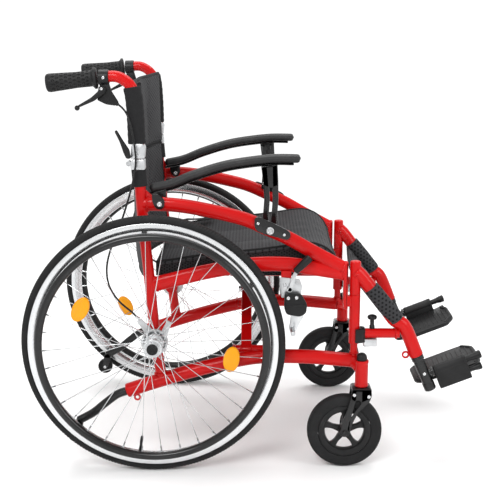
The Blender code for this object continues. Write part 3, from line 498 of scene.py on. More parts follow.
class Graph:
    """Node graph of one Principled material."""

    def __init__(self, name: str) -> None:
        """Args: name: material name."""
        self.material = bpy.data.materials.new(name)
        self.material.use_nodes = True
        self.tree = self.material.node_tree
        self.shader = self.tree.nodes["Principled BSDF"]
        split = self.add("ShaderNodeSeparateXYZ")
        self.place = self.add("ShaderNodeTexCoord").outputs["Object"]
        self.tree.links.new(self.place, split.inputs[0])
        self.x, self.y, self.z = (Sock(self, out) for out in split.outputs)

    def add(self, kind: str, **settings: object) -> bpy.types.Node:
        """Args: kind: node type; settings: its properties.  Returns: the new node."""
        node = self.tree.nodes.new(kind)
        for key, value in settings.items():
            setattr(node, key, value)
        return node

    def feed(self, place: bpy.types.NodeSocket,
             value: Union[Sock, Number, Sequence[float]]) -> None:
        """Args: place: an input; value: a socket to link, or a constant."""
        if isinstance(value, Sock):
            self.tree.links.new(value.socket, place)
        else:
            place.default_value = value

    def constant(self, **values: object) -> None:
        """Args: values: constants of the shader, spaces written as underscores."""
        for key, value in values.items():
            self.shader.inputs[key.replace("_", " ")].default_value = value

    def noise(self, scale: float, detail: float = 2.0, rough: float = 0.5,
              stretch: Optional[Sequence[float]] = None) -> Sock:
        """Args: scale, detail and roughness; stretch of the axes.  Returns: 0 to 1 noise."""
        node = self.add("ShaderNodeTexNoise")
        place = self.place
        if stretch:
            scaled = self.add("ShaderNodeVectorMath", operation="MULTIPLY")
            self.tree.links.new(place, scaled.inputs[0])
            scaled.inputs[1].default_value = stretch
            place = scaled.outputs[0]
        self.tree.links.new(place, node.inputs["Vector"])
        node.inputs["Scale"].default_value = scale
        node.inputs["Detail"].default_value = detail
        node.inputs["Roughness"].default_value = rough
        return Sock(self, node.outputs[0])

    def cells(self, scale: float) -> Sock:
        """Args: scale: cells a metre.  Returns: distance to the cell's centre."""
        node = self.add("ShaderNodeTexVoronoi")
        self.tree.links.new(self.place, node.inputs["Vector"])
        node.inputs["Scale"].default_value = scale
        return Sock(self, node.outputs[0])

    def colour(self, share: Sock, low: Sequence[float], high: Sequence[float]) -> Sock:
        """Args: share: 0 to 1; low, high: colours.  Returns: the mixed colour."""
        node = self.add("ShaderNodeMix", data_type="RGBA")
        self.feed(node.inputs["Factor"], share)
        node.inputs[6].default_value = (*low, 1.0)
        node.inputs[7].default_value = (*high, 1.0)
        return Sock(self, node.outputs[2])

    def paint(self, base: Sock, rough: Sock) -> None:
        """Args: base: colour; rough: roughness."""
        self.feed(self.shader.inputs["Base Color"], base)
        self.feed(self.shader.inputs["Roughness"], rough)

    def bump(self, height: Sock, distance: float, strength: float = 1.0) -> None:
        """Args: height: 0 to 1 relief; distance: its depth; strength: its share."""
        node = self.add("ShaderNodeBump")
        node.inputs["Strength"].default_value = strength
        node.inputs["Distance"].default_value = distance
        self.feed(node.inputs["Height"], height)
        self.tree.links.new(node.outputs[0], self.shader.inputs["Normal"])


Colour = tuple[float, float, float]


@dataclass(frozen=True)
class Finish:
    """A procedural surface.

    Args:
        name: material name.
        slot: the record's material slot that it belongs to; not used.
    """

    name: str
    slot: str

    def build(self) -> bpy.types.Material:
        """Returns: the material, made once and then reused."""
        made = bpy.data.materials.get(self.name)
        if made is not None:
            return made
        graph = Graph(self.name)
        self.draw(graph)
        return graph.material

    def draw(self, graph: Graph) -> None:
        """Args: graph: where the surface is drawn."""
        raise NotImplementedError


@dataclass(frozen=True)
class Lacquer(Finish):
    """Gloss paint under a clear coat: faint orange peel, settled dust and rubbed patches."""

    base: Colour = (0.47, 0.003, 0.003)
    coat: float = 0.22
    rough: float = 0.34

    def draw(self, graph: Graph) -> None:
        """Args: graph: where the surface is drawn."""
        drift = graph.noise(9.0, 3.0)
        dust = graph.noise(55.0, 5.0, 0.65).step(0.52, 0.78)
        dark = tuple(c * 0.86 for c in self.base)
        tone = graph.colour(drift.step(0.3, 0.7), dark, self.base)
        graph.paint(tone, dust * 0.10 + drift * 0.06 + (self.rough - 0.04))
        graph.constant(Coat_Weight=self.coat, Coat_Roughness=0.06, Specular_IOR_Level=0.10)
        peel = graph.noise(420.0, 2.0)
        graph.bump(peel * 0.6 + drift * 0.4, 0.00012, 0.35)


@dataclass(frozen=True)
class Metal(Finish):
    """Satin or polished metal: fine brushing, handling marks and a little dulling."""

    base: Colour = (0.62, 0.63, 0.64)
    rough: float = 0.30
    grain: tuple[float, float, float] = (1.0, 0.05, 1.0)
    wear: float = 0.20

    def draw(self, graph: Graph) -> None:
        """Args: graph: where the surface is drawn."""
        brush = graph.noise(900.0, 3.0, 0.6, self.grain)
        blotch = graph.noise(38.0, 4.0)
        dull = tuple(c * (1.0 - self.wear) for c in self.base)
        graph.paint(graph.colour(blotch.step(0.35, 0.75), self.base, dull),
                    brush * (0.5 * self.wear) + blotch * (0.6 * self.wear)
                    + (self.rough - 0.5 * self.wear))
        graph.constant(Metallic=1.0)
        graph.bump(brush, 0.00006, 0.5)


@dataclass(frozen=True)
class Rubber(Finish):
    """Vulcanised rubber: mottled dark grey, finely pitted, with pale dust in the grain."""

    base: Colour = (0.020, 0.020, 0.021)
    rough: float = 0.72
    pits: float = 1400.0

    def draw(self, graph: Graph) -> None:
        """Args: graph: where the surface is drawn."""
        grain = graph.noise(self.pits, 4.0, 0.6)
        drift = graph.noise(26.0, 3.0)
        pale = tuple(c * 1.9 + 0.004 for c in self.base)
        graph.paint(graph.colour((grain * drift).step(0.16, 0.5), self.base, pale),
                    drift * 0.16 + (self.rough - 0.08))
        graph.constant(Specular_IOR_Level=0.22)
        graph.bump(grain, 0.00016, 0.55)


@dataclass(frozen=True)
class Moulded(Finish):
    """Injection-moulded plastic or powder coat: spark-eroded texture with shinier spots."""

    base: Colour = (0.020, 0.020, 0.021)
    rough: float = 0.42
    grain: float = 900.0
    depth: float = 0.00012
    coat: float = 0.0

    def draw(self, graph: Graph) -> None:
        """Args: graph: where the surface is drawn."""
        leather = graph.cells(self.grain)
        rub = graph.noise(32.0, 4.0, 0.6)
        worn = tuple(c * 1.5 + 0.003 for c in self.base)
        graph.paint(graph.colour(rub.step(0.45, 0.8), self.base, worn),
                    rub * -0.14 + leather * 0.10 + (self.rough + 0.05))
        graph.constant(Coat_Weight=self.coat, Coat_Roughness=0.15, Specular_IOR_Level=0.22)
        graph.bump(leather, self.depth, 0.5)


class Lie(Enum):
    """Plane that a fabric's threads run in."""

    ACROSS = "yz"
    FLAT = "xy"
    SIDE = "xz"


@dataclass(frozen=True)
class Fabric(Finish):
    """Spacer mesh: rows of open hexagonal holes, staggered, with yarn sheen and lint.

    The holes are the dips of cos(u) + cos(u/2 + v) + cos(u/2 - v), a lattice of three waves.
    """

    base: Colour = (0.006, 0.006, 0.0065)
    thread: Colour = (0.030, 0.030, 0.032)
    pitch: float = 0.0052
    lie: Lie = Lie.ACROSS
    depth: float = 0.0009

    def draw(self, graph: Graph) -> None:
        """Args: graph: where the surface is drawn."""
        axes = {"x": graph.x, "y": graph.y, "z": graph.z}
        u, v = axes[self.lie.value[0]], axes[self.lie.value[1]]
        waves = u * (2 * math.pi / self.pitch)
        rise = v * (2 * math.pi / self.pitch / 1.155)
        lattice = waves.cos() + (waves * 0.5 + rise).cos() + (waves * 0.5 - rise).cos()
        holes = lattice.step(0.2, 1.6)
        yarn = graph.noise(2400.0, 3.0, 0.6)
        drift = graph.noise(14.0, 3.0)
        lint = graph.noise(300.0, 4.0, 0.7).step(0.62, 0.80)
        tone = (1.0 - holes) * (yarn * 0.5 + 0.45) + lint * 0.12 + drift * 0.08
        graph.paint(graph.colour(tone, self.base, self.thread), yarn * 0.12 + 0.78)
        graph.constant(Sheen_Weight=0.04, Sheen_Roughness=0.45, Specular_IOR_Level=0.15)
        graph.bump((1.0 - holes) * 0.85 + yarn * 0.15, self.depth, 0.8)


@dataclass(frozen=True)
class Webbing(Finish):
    """Tight plain weave of tape and binding: over-and-under threads in two directions."""

    base: Colour = (0.006, 0.006, 0.0065)
    thread: Colour = (0.022, 0.022, 0.023)
    pitch: float = 0.0016
    lie: Lie = Lie.SIDE

    def draw(self, graph: Graph) -> None:
        """Args: graph: where the surface is drawn."""
        axes = {"x": graph.x, "y": graph.y, "z": graph.z}
        u, v = axes[self.lie.value[0]], axes[self.lie.value[1]]
        over = u.wave(self.pitch) * v.wave(self.pitch)
        yarn = graph.noise(1900.0, 3.0)
        drift = graph.noise(20.0, 3.0)
        height = over * 0.5 + 0.5
        graph.paint(graph.colour(height * 0.6 + yarn * 0.3 + drift * 0.1, self.base, self.thread),
                    yarn * 0.1 + 0.80)
        graph.constant(Sheen_Weight=0.03, Sheen_Roughness=0.5, Specular_IOR_Level=0.15)
        graph.bump(height * 0.8 + yarn * 0.2, 0.0004, 0.7)


@dataclass(frozen=True)
class Prism(Finish):
    """Amber reflector moulding: small corner prisms under a clear face, with a faint painted glow
    that is brighter along the facets.
    """

    base: Colour = (0.88, 0.36, 0.004)

    def draw(self, graph: Graph) -> None:
        """Args: graph: where the surface is drawn."""
        facet = graph.x.wave(0.0034).abs().maximum(graph.z.wave(0.0034).abs())
        drift = graph.noise(60.0, 2.0)
        deep = (0.55, 0.17, 0.001)
        graph.paint(graph.colour(facet * 0.7 + drift * 0.3, deep, self.base), drift * 0.1 + 0.18)
        # Painted glow: a faint emission, brighter on the facet lines, stands in for the light the
        # reflector sends back; the reflector is no lamp.
        graph.feed(graph.shader.inputs["Emission Color"],
                   graph.colour(facet, (0.5, 0.10, 0.0), (1.0, 0.34, 0.01)))
        graph.constant(Emission_Strength=0.04, Coat_Weight=0.12, Coat_Roughness=0.04,
                       Specular_IOR_Level=0.2)
        graph.bump(facet, 0.0007, 0.7)


@dataclass(frozen=True)
class Studio(Finish):
    """Matte white floor with a trace of tone so that it is not a flat colour."""

    base: Colour = (0.94, 0.94, 0.94)

    def draw(self, graph: Graph) -> None:
        """Args: graph: where the surface is drawn."""
        drift = graph.noise(3.0, 2.0)
        dim = tuple(c * 0.985 for c in self.base)
        graph.paint(graph.colour(drift, dim, self.base), drift * 0.05 + 0.6)


RED = Lacquer("red_lacquer", "red")
SATIN = Metal("satin_alloy", "silver")
BRIGHT = Metal("bright_steel", "silver", (0.62, 0.63, 0.64), 0.20)
RIM = Metal("anodised_rim", "silver", (0.66, 0.67, 0.68), 0.24, (1.0, 8.0, 1.0), 0.05)
CAST = Metal("cast_alloy", "silver", (0.56, 0.57, 0.58), 0.36, (1.0, 1.0, 1.0))
TYRE = Rubber("tyre_rubber", "tyre", (0.008, 0.008, 0.0083))
GRIPPY = Rubber("grip_rubber", "rubber", (0.007, 0.007, 0.0073), 0.50, 2200.0)
PAD = Moulded("pad_foam", "rubber", (0.018, 0.018, 0.0185), 0.44, 1500.0, 0.00018)
BLACK = Moulded("moulded_black", "black", (0.008, 0.008, 0.0083), 0.34)
STEEL = Moulded("black_steel", "blackmetal", (0.006, 0.006, 0.0063), 0.26, 700.0, 0.00005, 0.35)
MESH_BACK = Fabric("mesh_back", "fabric", (0.003, 0.003, 0.0034), (0.055, 0.055, 0.058), 0.0080)
MESH_SEAT = Fabric("mesh_seat", "fabric", (0.003, 0.003, 0.0034), (0.050, 0.050, 0.053), 0.0080,
                   Lie.FLAT)
MESH_SIDE = Fabric("mesh_side", "fabric", (0.003, 0.003, 0.0034), (0.034, 0.034, 0.036), 0.0060,
                   Lie.SIDE)
MESH_STRAP = Fabric("mesh_strap", "fabric", (0.005, 0.005, 0.0055), (0.042, 0.042, 0.045), 0.0085,
                    Lie.SIDE, 0.0012)
TAPE = Webbing("binding_tape", "fabric")
AMBER = Prism("amber_prism", "black")
FLOOR = Studio("studio_floor", "black")


def rig(name: str, shell: Shell, finish: Finish, body: str, nodes: Sequence[str] = (),
        sharp: float = 38.0) -> bpy.types.Object:
    """Makes an object that rides on a body.

    Args: object name; its surface mesh; its finish; the body; the CAD nodes that it stands for;
        sharp: crease angle in degrees.
    Returns: the object.
    """
    obj = shell.to_object(name, finish.build(), sharp)
    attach(obj, body)
    if nodes:
        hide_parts(*nodes)
    return obj


# ------------------------------------------------------------------ assemblies
@dataclass
class Assembly:
    """A group of pieces on one side of the chair.

    Args:
        side: which side it is on.
    """

    side: Side

    def tag(self, name: str) -> str:
        """Args: name: a node's or body's stem.  Returns: the name with its side."""
        return f"{name}_{self.side.value}"

    def put(self, name: str, shells: Sequence[Shell], finish: Finish, body: str,
            replaces: Sequence[str] = (), sharp: float = 38.0) -> bpy.types.Object:
        """Makes an object that rides on a body.

        Args:
            name: stem of its name.
            shells: right-hand shells that make it up.
            finish: its surface.
            body: stem of the body it rides on.
            replaces: stems of CAD nodes that it stands for.
            sharp: crease angle in degrees.
        Returns: the object.
        """
        shell = Shell.join([part.on(self.side) for part in shells])
        return rig(self.tag(name), shell, finish, self.tag(body),
                   [self.tag(node) for node in replaces], sharp)

    def build(self) -> None:
        """Makes every piece of the assembly."""
        raise NotImplementedError


def in_plane(y: float, *pairs: Sequence[float]) -> list[tuple[float, float, float]]:
    """Args: y: the plane; pairs: (x, z).  Returns: places in that plane."""
    return [(x, y, z) for x, z in pairs]


@dataclass
class RearWheel(Assembly):
    """Spoked drive wheel: tyre, rim, hub, laced spokes, handrim, reflectors and valve.

    Args:
        spokes: how many spokes.
        blocks: how many tread blocks round each shoulder.
        near_lights: (radius, degrees round the wheel) of each reflector of the right wheel.
        far_lights: the same for the left wheel, which has come to rest at another angle.
    """

    spokes: int = 36
    blocks: int = 250
    near_lights: tuple[tuple[float, float], ...] = ((0.184, 152.6), (0.180, -10.6))
    far_lights: tuple[tuple[float, float], ...] = ((0.153, 207.7), (0.180, 44.7))

    def tyre(self) -> Shell:
        """Rounded tyre with a centre rib and staggered shoulder blocks.

        The section at angle q is (0.2902 + 0.0091 cos q, 0.0136 sin q), squared off a little;
        inside the tread band the radius gains the blocks' height, a clipped wave of the turn
        whose phase swaps sides across the middle.  Each wall has one shallow bead.
        Returns: the closed ring.
        """
        q, a = turns(40)[:, None], turns(1500)[None]
        cos, sin = np.cos(q), np.sin(q)
        radius = 0.2902 + 0.0091 * np.sign(cos) * np.abs(cos) ** 0.8
        across = 0.0136 * np.sign(sin) * np.abs(sin) ** 0.85
        band = np.clip((cos - 0.20) / 0.12, 0, 1)
        lean = np.sign(sin) * (1.4 + 3.4 * np.abs(sin))
        blocks = np.clip(2.6 * np.sin(self.blocks * a + lean), -1, 1)
        middle = np.clip((0.22 - np.abs(sin)) / 0.06, 0, 1)
        relief = band * (0.0015 * np.maximum(0.5 + 0.5 * blocks, middle) - 0.0008)
        wall = np.clip(3 * np.sin(np.clip((radius - 0.2815) / 0.0065, 0, 1) * math.pi) - 2.2, 0, 1)
        side = across * (1 + 0.024 * wall * (np.abs(sin) > 0.5))
        r = radius + relief
        grid = np.broadcast_arrays(r * np.cos(a), side + WHEEL_Y, HUB_Z + r * np.sin(a))
        return loft(np.stack(grid, -1), True)

    def rim(self) -> Shell:
        """Returns: double-walled rim with rolled edges."""
        y = WHEEL_Y
        half = [(0.2843, 0.0122), (0.2830, 0.0131), (0.2740, 0.0128), (0.2665, 0.0112),
                (0.2615, 0.0080), (0.2585, 0.0052)]
        profile = ([(r, y + s) for r, s in half] + [(0.2575, y)]
                   + [(r, y - s) for r, s in half[::-1]])
        return revolve(profile, (0, 0, HUB_Z), steps=240, closed=True, rounding=0.0016)

    def lacing(self) -> tuple[list[Shell], list[Shell]]:
        """Returns: spokes, and the nipples that hold them in the rim."""
        wires, nipples = [], []
        for i in range(self.spokes):
            at_rim = 360.0 * i / self.spokes + 3.0
            outer = i % 2 == 0
            lead = 1 if (i // 2) % 2 == 0 else -1
            start = 0.0185 * heading(at_rim + 58 * lead)
            start += (0, (-0.3165 if outer else -0.2810) - lead * 0.0021, HUB_Z)
            end = 0.2590 * heading(at_rim)
            end += (0, WHEEL_Y + (-0.0015 if outer else 0.0015), HUB_Z)
            elbow = 0.0012 * lead * UP_Y
            wires += [rod(start, end, 0.00090, 8, 0.0003),
                      rod(start - elbow, start + elbow, 0.0021, 8, 0.0006)]
            tip = start + (end - start) * 0.945
            nipples.append(rod(tip, start + (end - start) * 0.997, 0.0020, 10, 0.0005))
        return wires, nipples

    def hub(self) -> list[Shell]:
        """Returns: flanged hub shell and a serrated clamp ring; the hub's lightening dimples are
        not drawn.
        """
        a = turns(72)
        profile = [(0.0100, -0.3200), (0.0215, -0.3188), (0.0222, -0.3165), (0.0215, -0.3148),
                   (0.0140, -0.3120), (0.0118, -0.3040), (0.0118, -0.2920), (0.0150, -0.2850),
                   (0.0222, -0.2832), (0.0228, -0.2808), (0.0222, -0.2788), (0.0130, -0.2735)]
        shell = revolve([(0, -0.3200)] + profile + [(0, -0.2735)], (0, 0, HUB_Z), steps=72,
                        rounding=0.0008)
        scallop = np.broadcast_to(0.0006 * np.cos(18 * a), (24, 72))
        ring = revolve([(0.0118, -0.3250), (0.0150, -0.3250), (0.0158, -0.3225), (0.0158, -0.3195),
                        (0.0150, -0.3185), (0.0118, -0.3185)], (0, 0, HUB_Z), steps=72,
                       closed=True, rounding=0.0006, bump=scallop)
        return [shell, ring]

    def cap(self) -> Shell:
        """Returns: black axle cap with a dished face."""
        return revolve([(0, -0.3170), (0.0125, -0.3170), (0.0128, -0.3285), (0.0105, -0.3308),
                        (0.0065, -0.3308), (0.0055, -0.3292), (0, -0.3290)], (0, 0, HUB_Z),
                       steps=48, rounding=0.0010)

    def ring(self) -> list[Shell]:
        """Returns: handrim and its standoffs with washers."""
        a = turns(20)
        profile = np.stack([0.2568 + 0.0090 * np.cos(a), -0.3215 + 0.0090 * np.sin(a)], 1)
        parts = [revolve(profile, (0, 0, HUB_Z), steps=240, closed=True)]
        for i in range(6):
            way = heading(60 * i + 33)
            foot = np.array([0, WHEEL_Y - 0.0125, HUB_Z]) + way * 0.2647
            top = np.array([0, -0.3195, HUB_Z]) + way * 0.2568
            parts.append(sweep([foot, foot * 0.45 + top * 0.55, top], 0.0042, count=8, sides=16,
                               across=way, swell=np.array([1.5, 1.0, 0.95, 1.3])))
        return parts

    def reflector(self, radius: float, degrees: float) -> tuple[Shell, Shell]:
        """Oval reflector on two spokes.

        Args: radius and degrees: its place on the wheel.
        Returns: amber lens and its rim; build gives the rim the amber finish too.
        """
        out, along = heading(degrees), heading(degrees + 90)
        centre = np.array([0, WHEEL_Y - 0.0020, HUB_Z]) + radius * out
        a = turns(64)

        def dome(scale: Array, height: Array) -> Shell:
            """Args: share of the oval; height of each ring.  Returns: stacked ovals."""
            flat = (0.0300 * np.cos(a)[:, None] * along + 0.0185 * np.sin(a)[:, None] * out)
            return loft(centre + scale[:, None, None] * flat[None] + height[:, None, None] * UP_Y)

        lens = dome(np.array([0.90, 0.95, 0.95, 0.93, 0.80, 0.45, 0.02]),
                    np.array([0.0025, 0.0020, -0.0030, -0.0042, -0.0050, -0.0054, -0.0055]))
        back = dome(np.array([0.90, 1.0, 1.0, 0.97, 0.955]),
                    np.array([0.0040, 0.0030, -0.0020, -0.0034, -0.0034]))
        return lens, back

    def build(self) -> None:
        """Makes every piece of the wheel."""
        wires, nipples = self.lacing()
        lights = self.near_lights if self.side is Side.RIGHT else self.far_lights
        lamps = [self.reflector(*place) for place in lights]
        way = heading(-98.0)
        root = np.array([0, WHEEL_Y, HUB_Z])
        valve = sweep([root + way * reach for reach in (0.259, 0.240, 0.222)], 0.0030, sides=14,
                      swell=np.array([1.5, 1.3, 1.0, 1.25, 1.2, 1.0]), count=14)
        self.put("look_tyre", [self.tyre()], TYRE, "rear_wheel", ["rear_tyre"], 60)
        self.put("look_rim", [self.rim()], RIM, "rear_wheel", ["rear_wheel"])
        self.put("look_spokes", wires, BRIGHT, "rear_wheel")
        self.put("look_nipples", nipples, BRIGHT, "rear_wheel")
        self.put("look_hub", self.hub(), CAST, "rear_wheel")
        self.put("look_axle_cap", [self.cap()], BLACK, "rear_wheel")
        self.put("look_handrim", self.ring(), STEEL, "rear_wheel", ["handrim"])
        # The lens and the rim both take the amber finish, so both carry its painted glow.
        self.put("look_reflector", [lamp[0] for lamp in lamps], AMBER, "rear_wheel")
        self.put("look_reflector_rim", [lamp[1] for lamp in lamps], AMBER, "rear_wheel")
        self.put("look_valve", [valve], BLACK, "rear_wheel")


@dataclass
class SideFrame(Assembly):
    """Welded tubes of one side, with the brackets fixed to them."""

    arch: list[tuple[float, float, float]] = field(default_factory=lambda: in_plane(
        FRAME_Y, (-0.026, 0.6175), (0.04, 0.6160), (0.106, 0.6066), (0.200, 0.5850),
        (0.260, 0.5600), (0.310, 0.5370), (0.365, 0.5060), (0.4345, 0.4681)))
    rail: list[tuple[float, float, float]] = field(default_factory=lambda: in_plane(
        FRAME_Y, (-0.014, 0.4270), (0.060, 0.4460), (0.130, 0.4625), (0.220, 0.4770),
        (0.300, 0.4785), (0.360, 0.4700), (0.437, 0.4577)))
    lower: list[tuple[float, float, float]] = field(default_factory=lambda: in_plane(
        FRAME_Y, (-0.0685, 0.1740), (0.000, 0.1970), (0.060, 0.2160), (0.123, 0.2335),
        (0.200, 0.2515), (0.260, 0.2585), (0.360, 0.2575), (0.4560, 0.2490)))
    post: list[tuple[float, float, float]] = field(default_factory=lambda: in_plane(
        FRAME_Y, (0.0135, 0.2020), (0.0005, 0.3000), (-0.0125, 0.4620), (-0.0205, 0.5500),
        (-0.0300, 0.6960)))

    def tubes(self) -> list[Shell]:
        """Returns: painted tubes, head, front plate and gussets."""
        y = FRAME_Y
        head = [(0, 0.1957), (0.0158, 0.1957), (0.0158, 0.2005), (0.0150, 0.2020),
                (0.0150, 0.2500), (0.0158, 0.2520), (0.0158, 0.2575), (0, 0.2575)]
        stem = np.array([STEM_X, CASTER_Y, 0])
        ear = [(-0.241, 0.2480), (-0.193, 0.2520), (-0.191, 0.2640), (-0.199, 0.2735),
               (-0.211, 0.2735), (-0.241, 0.2690)]
        return [
            sweep(self.post, 0.0125, count=40),
            sweep(self.arch, 0.0125, 0.0160, count=60, sides=32),
            sweep(self.rail, 0.0110, 0.0172, count=50, sides=32),
            sweep(self.lower, 0.0165, count=60, sides=32, round_end=0.002),
            sweep([(0.452, y, 0.2493), (0.462, y - 0.006, 0.2470), (0.4725, y - 0.019, 0.2395)],
                  0.0150, count=10),
            revolve(head, stem, Axis.Z, 48, rounding=0.0008),
            plate([(0.4320, 0.3850), (0.4345, 0.3760), (0.4395, 0.3725), (0.4426, 0.3760),
                   (0.4426, 0.4860), (0.4320, 0.4800)], Axis.Y, y - 0.0115, y + 0.0115, 0.003,
                  0.0030),
            plate([(0.4400, 0.3800), (0.4540, 0.3800), (0.4540, 0.4050), (0.4400, 0.4050)],
                  Axis.Y, y - 0.009, y + 0.009, 0.002, 0.002),
            drum((HANGER_X, y, 0), Axis.Z, 0.0125, 0.2915, 0.4082),
            drum((HANGER_X, y, 0), Axis.Z, 0.0085, 0.2450, 0.2950, 32, 0.0010),
            revolve([(0, y - 0.0185), (0.0165, y - 0.0185), (0.0175, y - 0.0150),
                     (0.0175, y + 0.0120), (0.0165, y + 0.0150), (0, y + 0.0150)],
                    (0, 0, HUB_Z), Axis.Y, 48, rounding=0.0012),
            plate([(0.2900, 0.4650), (0.3130, 0.4650), (0.3130, 0.4420), (0.3060, 0.4360),
                   (0.2900, 0.4360)], Axis.Y, y - 0.0118, y - 0.0040),
            plate([(-0.0270, 0.6250), (0.0120, 0.6250), (-0.0240, 0.6580)], Axis.Y, y - 0.003,
                  y + 0.003),
            revolve([(0.0042, y - 0.0018), (0.0042, y + 0.0018), (0.0082, y + 0.0018),
                     (0.0082, y - 0.0018)], (-0.0450, 0, 0.1580), Axis.Y, 36, closed=True,
                    rounding=0.0006),
        ] + [plate(ear, Axis.X, low, low + 0.0060, 0.003) for low in (0.1780, 0.2620)]

    def beads(self) -> list[Shell]:
        """Returns: weld beads where the tubes meet, in the frame's colour."""
        y = FRAME_Y
        return [
            weld((-0.0115, y, 0.6172), (1, 0, -0.01), 0.0126, 0.0161),
            weld((0.4300, y, 0.4705), (0.88, 0, -0.48), 0.0122, 0.0155),
            weld((0.0040, y, 0.4322), (0.96, 0, 0.26), 0.0110, 0.0172),
            weld((0.4320, y, 0.4588), (0.98, 0, -0.16), 0.0108, 0.0168),
            weld((0.0105, y, 0.2190), (-0.13, 0, 1), 0.0126, 0.0130),
            weld((0.4595, y, 0.2680), (0, 0, 1), 0.0086, 0.0086, 0.0018),
            weld((0.4620, y - 0.006, 0.2470), (0.86, -0.35, -0.30), 0.0151, 0.0151),
        ]

    def build(self) -> None:
        """Makes every piece of the side frame."""
        y = FRAME_Y
        self.put("look_frame_tubes", self.tubes() + self.beads(), RED, "frame", ["side_frame"])
        clamp = y - 0.010
        plates = [
            plate([(0.2290, 0.5860), (0.2340, 0.5910), (0.2420, 0.5890), (0.2705, 0.5770),
                   (0.3020, 0.5610), (0.3100, 0.5550), (0.3105, 0.5440), (0.3030, 0.5375),
                   (0.2800, 0.5440), (0.2515, 0.5510), (0.2340, 0.5590), (0.2290, 0.5680)],
                  Axis.Y, clamp - 0.0070, clamp, 0.004, 0.0014),
            plate([(0.0000, 0.6420), (0.0100, 0.6440), (0.0280, 0.6300), (0.0270, 0.6120),
                   (0.0165, 0.6060), (0.0060, 0.6120), (0.0000, 0.6280)], Axis.Y, clamp - 0.0070,
                  clamp, 0.005, 0.0012)]
        self.put("look_arm_clamps", plates, STEEL, "frame")
        screws = [bolt((x, clamp - 0.0070, z), Axis.Y, height, radius) for x, z, height, radius in
                  ((0.2370, 0.5760, -0.0018, 0.0036), (0.2960, 0.5500, -0.0018, 0.0036),
                   (0.0165, 0.6196, -0.0030, 0.0062))]
        self.put("look_frame_screws", screws, BRIGHT, "frame")
        button = revolve([(0, clamp - 0.0020), (0.0090, clamp - 0.0020), (0.0090, clamp - 0.0085),
                          (0.0076, clamp - 0.0102), (0.0056, clamp - 0.0102),
                          (0.0048, clamp - 0.0084), (0, clamp - 0.0082)],
                         (0.2642, 0, 0.5590), Axis.Y, 40, rounding=0.0008)
        self.put("look_arm_button", [button], CAST, "frame")
        stem = np.array([STEM_X, CASTER_Y, 0])
        dome = revolve([(0, 0.2570), (0.0122, 0.2570), (0.0122, 0.2640), (0.0105, 0.2700),
                        (0.0060, 0.2740), (0, 0.2746)], stem, Axis.Z, 40, rounding=0.0012)
        self.put("look_frame_caps", [dome], BLACK, "frame")
        casting = [
            plate([(-0.0460, 0.6965), (-0.0140, 0.6965), (-0.0150, 0.7198), (-0.0400, 0.7198),
                   (-0.0460, 0.7140)], Axis.Y, y - 0.0150, y + 0.0128, 0.003, 0.0018),
            drum((-0.0500, 0, 0.7105), Axis.Y, 0.0065, y - 0.0150, y - 0.0040, 32, 0.0008),
            bolt((-0.0500, y - 0.0150, 0.7105), Axis.Y, -0.0016, 0.0040)]
        self.put("look_back_hinge", casting, CAST, "frame")
        sleeve = sweep(in_plane(y, (-0.0270, 0.6580), (-0.0285, 0.6760), (-0.0300, 0.6960)),
                       0.0142, 0.0165, count=16, round_end=0.0012)
        self.put("look_post_sleeve", [sleeve], TAPE, "frame")
        self.brake_plate()
        self.parking_brake()

    def brake_plate(self) -> None:
        """Makes the fixed hub-brake plate with its ribs, arms and screws; the cable anchor is made
        with the push handle.
        """
        y = FRAME_Y
        face = revolve([(0, y - 0.0262), (0.0095, y - 0.0265), (0.0110, y - 0.0240),
                        (0.0230, y - 0.0240), (0.0255, y - 0.0262), (0.0310, y - 0.0255),
                        (0.0310, y - 0.0192), (0, y - 0.0192)], (0, 0, HUB_Z), Axis.Y, 72,
                       rounding=0.0009)
        arms = [plate([(-0.040, 0.350), (-0.030, 0.356), (0.004, 0.322), (-0.014, 0.310)], Axis.Y,
                      y - 0.0240, y - 0.0205, 0.003),
                plate([(0.012, 0.318), (0.030, 0.352), (0.040, 0.346), (0.027, 0.306)], Axis.Y,
                      y - 0.0240, y - 0.0205, 0.003)]
        ribs = []
        for i in range(8):
            a = math.radians(45 * i + 12)
            c, s = math.cos(a), math.sin(a)
            ribs.append(rod((0.011 * c, y - 0.0243, HUB_Z + 0.011 * s),
                            (0.024 * c, y - 0.0243, HUB_Z + 0.024 * s), 0.0012, 8))
        screws = [bolt((-0.0350, y - 0.0240, 0.3500), Axis.Y, -0.0016, 0.0034),
                  bolt((0.0335, y - 0.0240, 0.3450), Axis.Y, -0.0016, 0.0034)]
        self.put("look_brake_plate", [face] + arms + ribs + screws, CAST, "frame", ["brake_drum"])

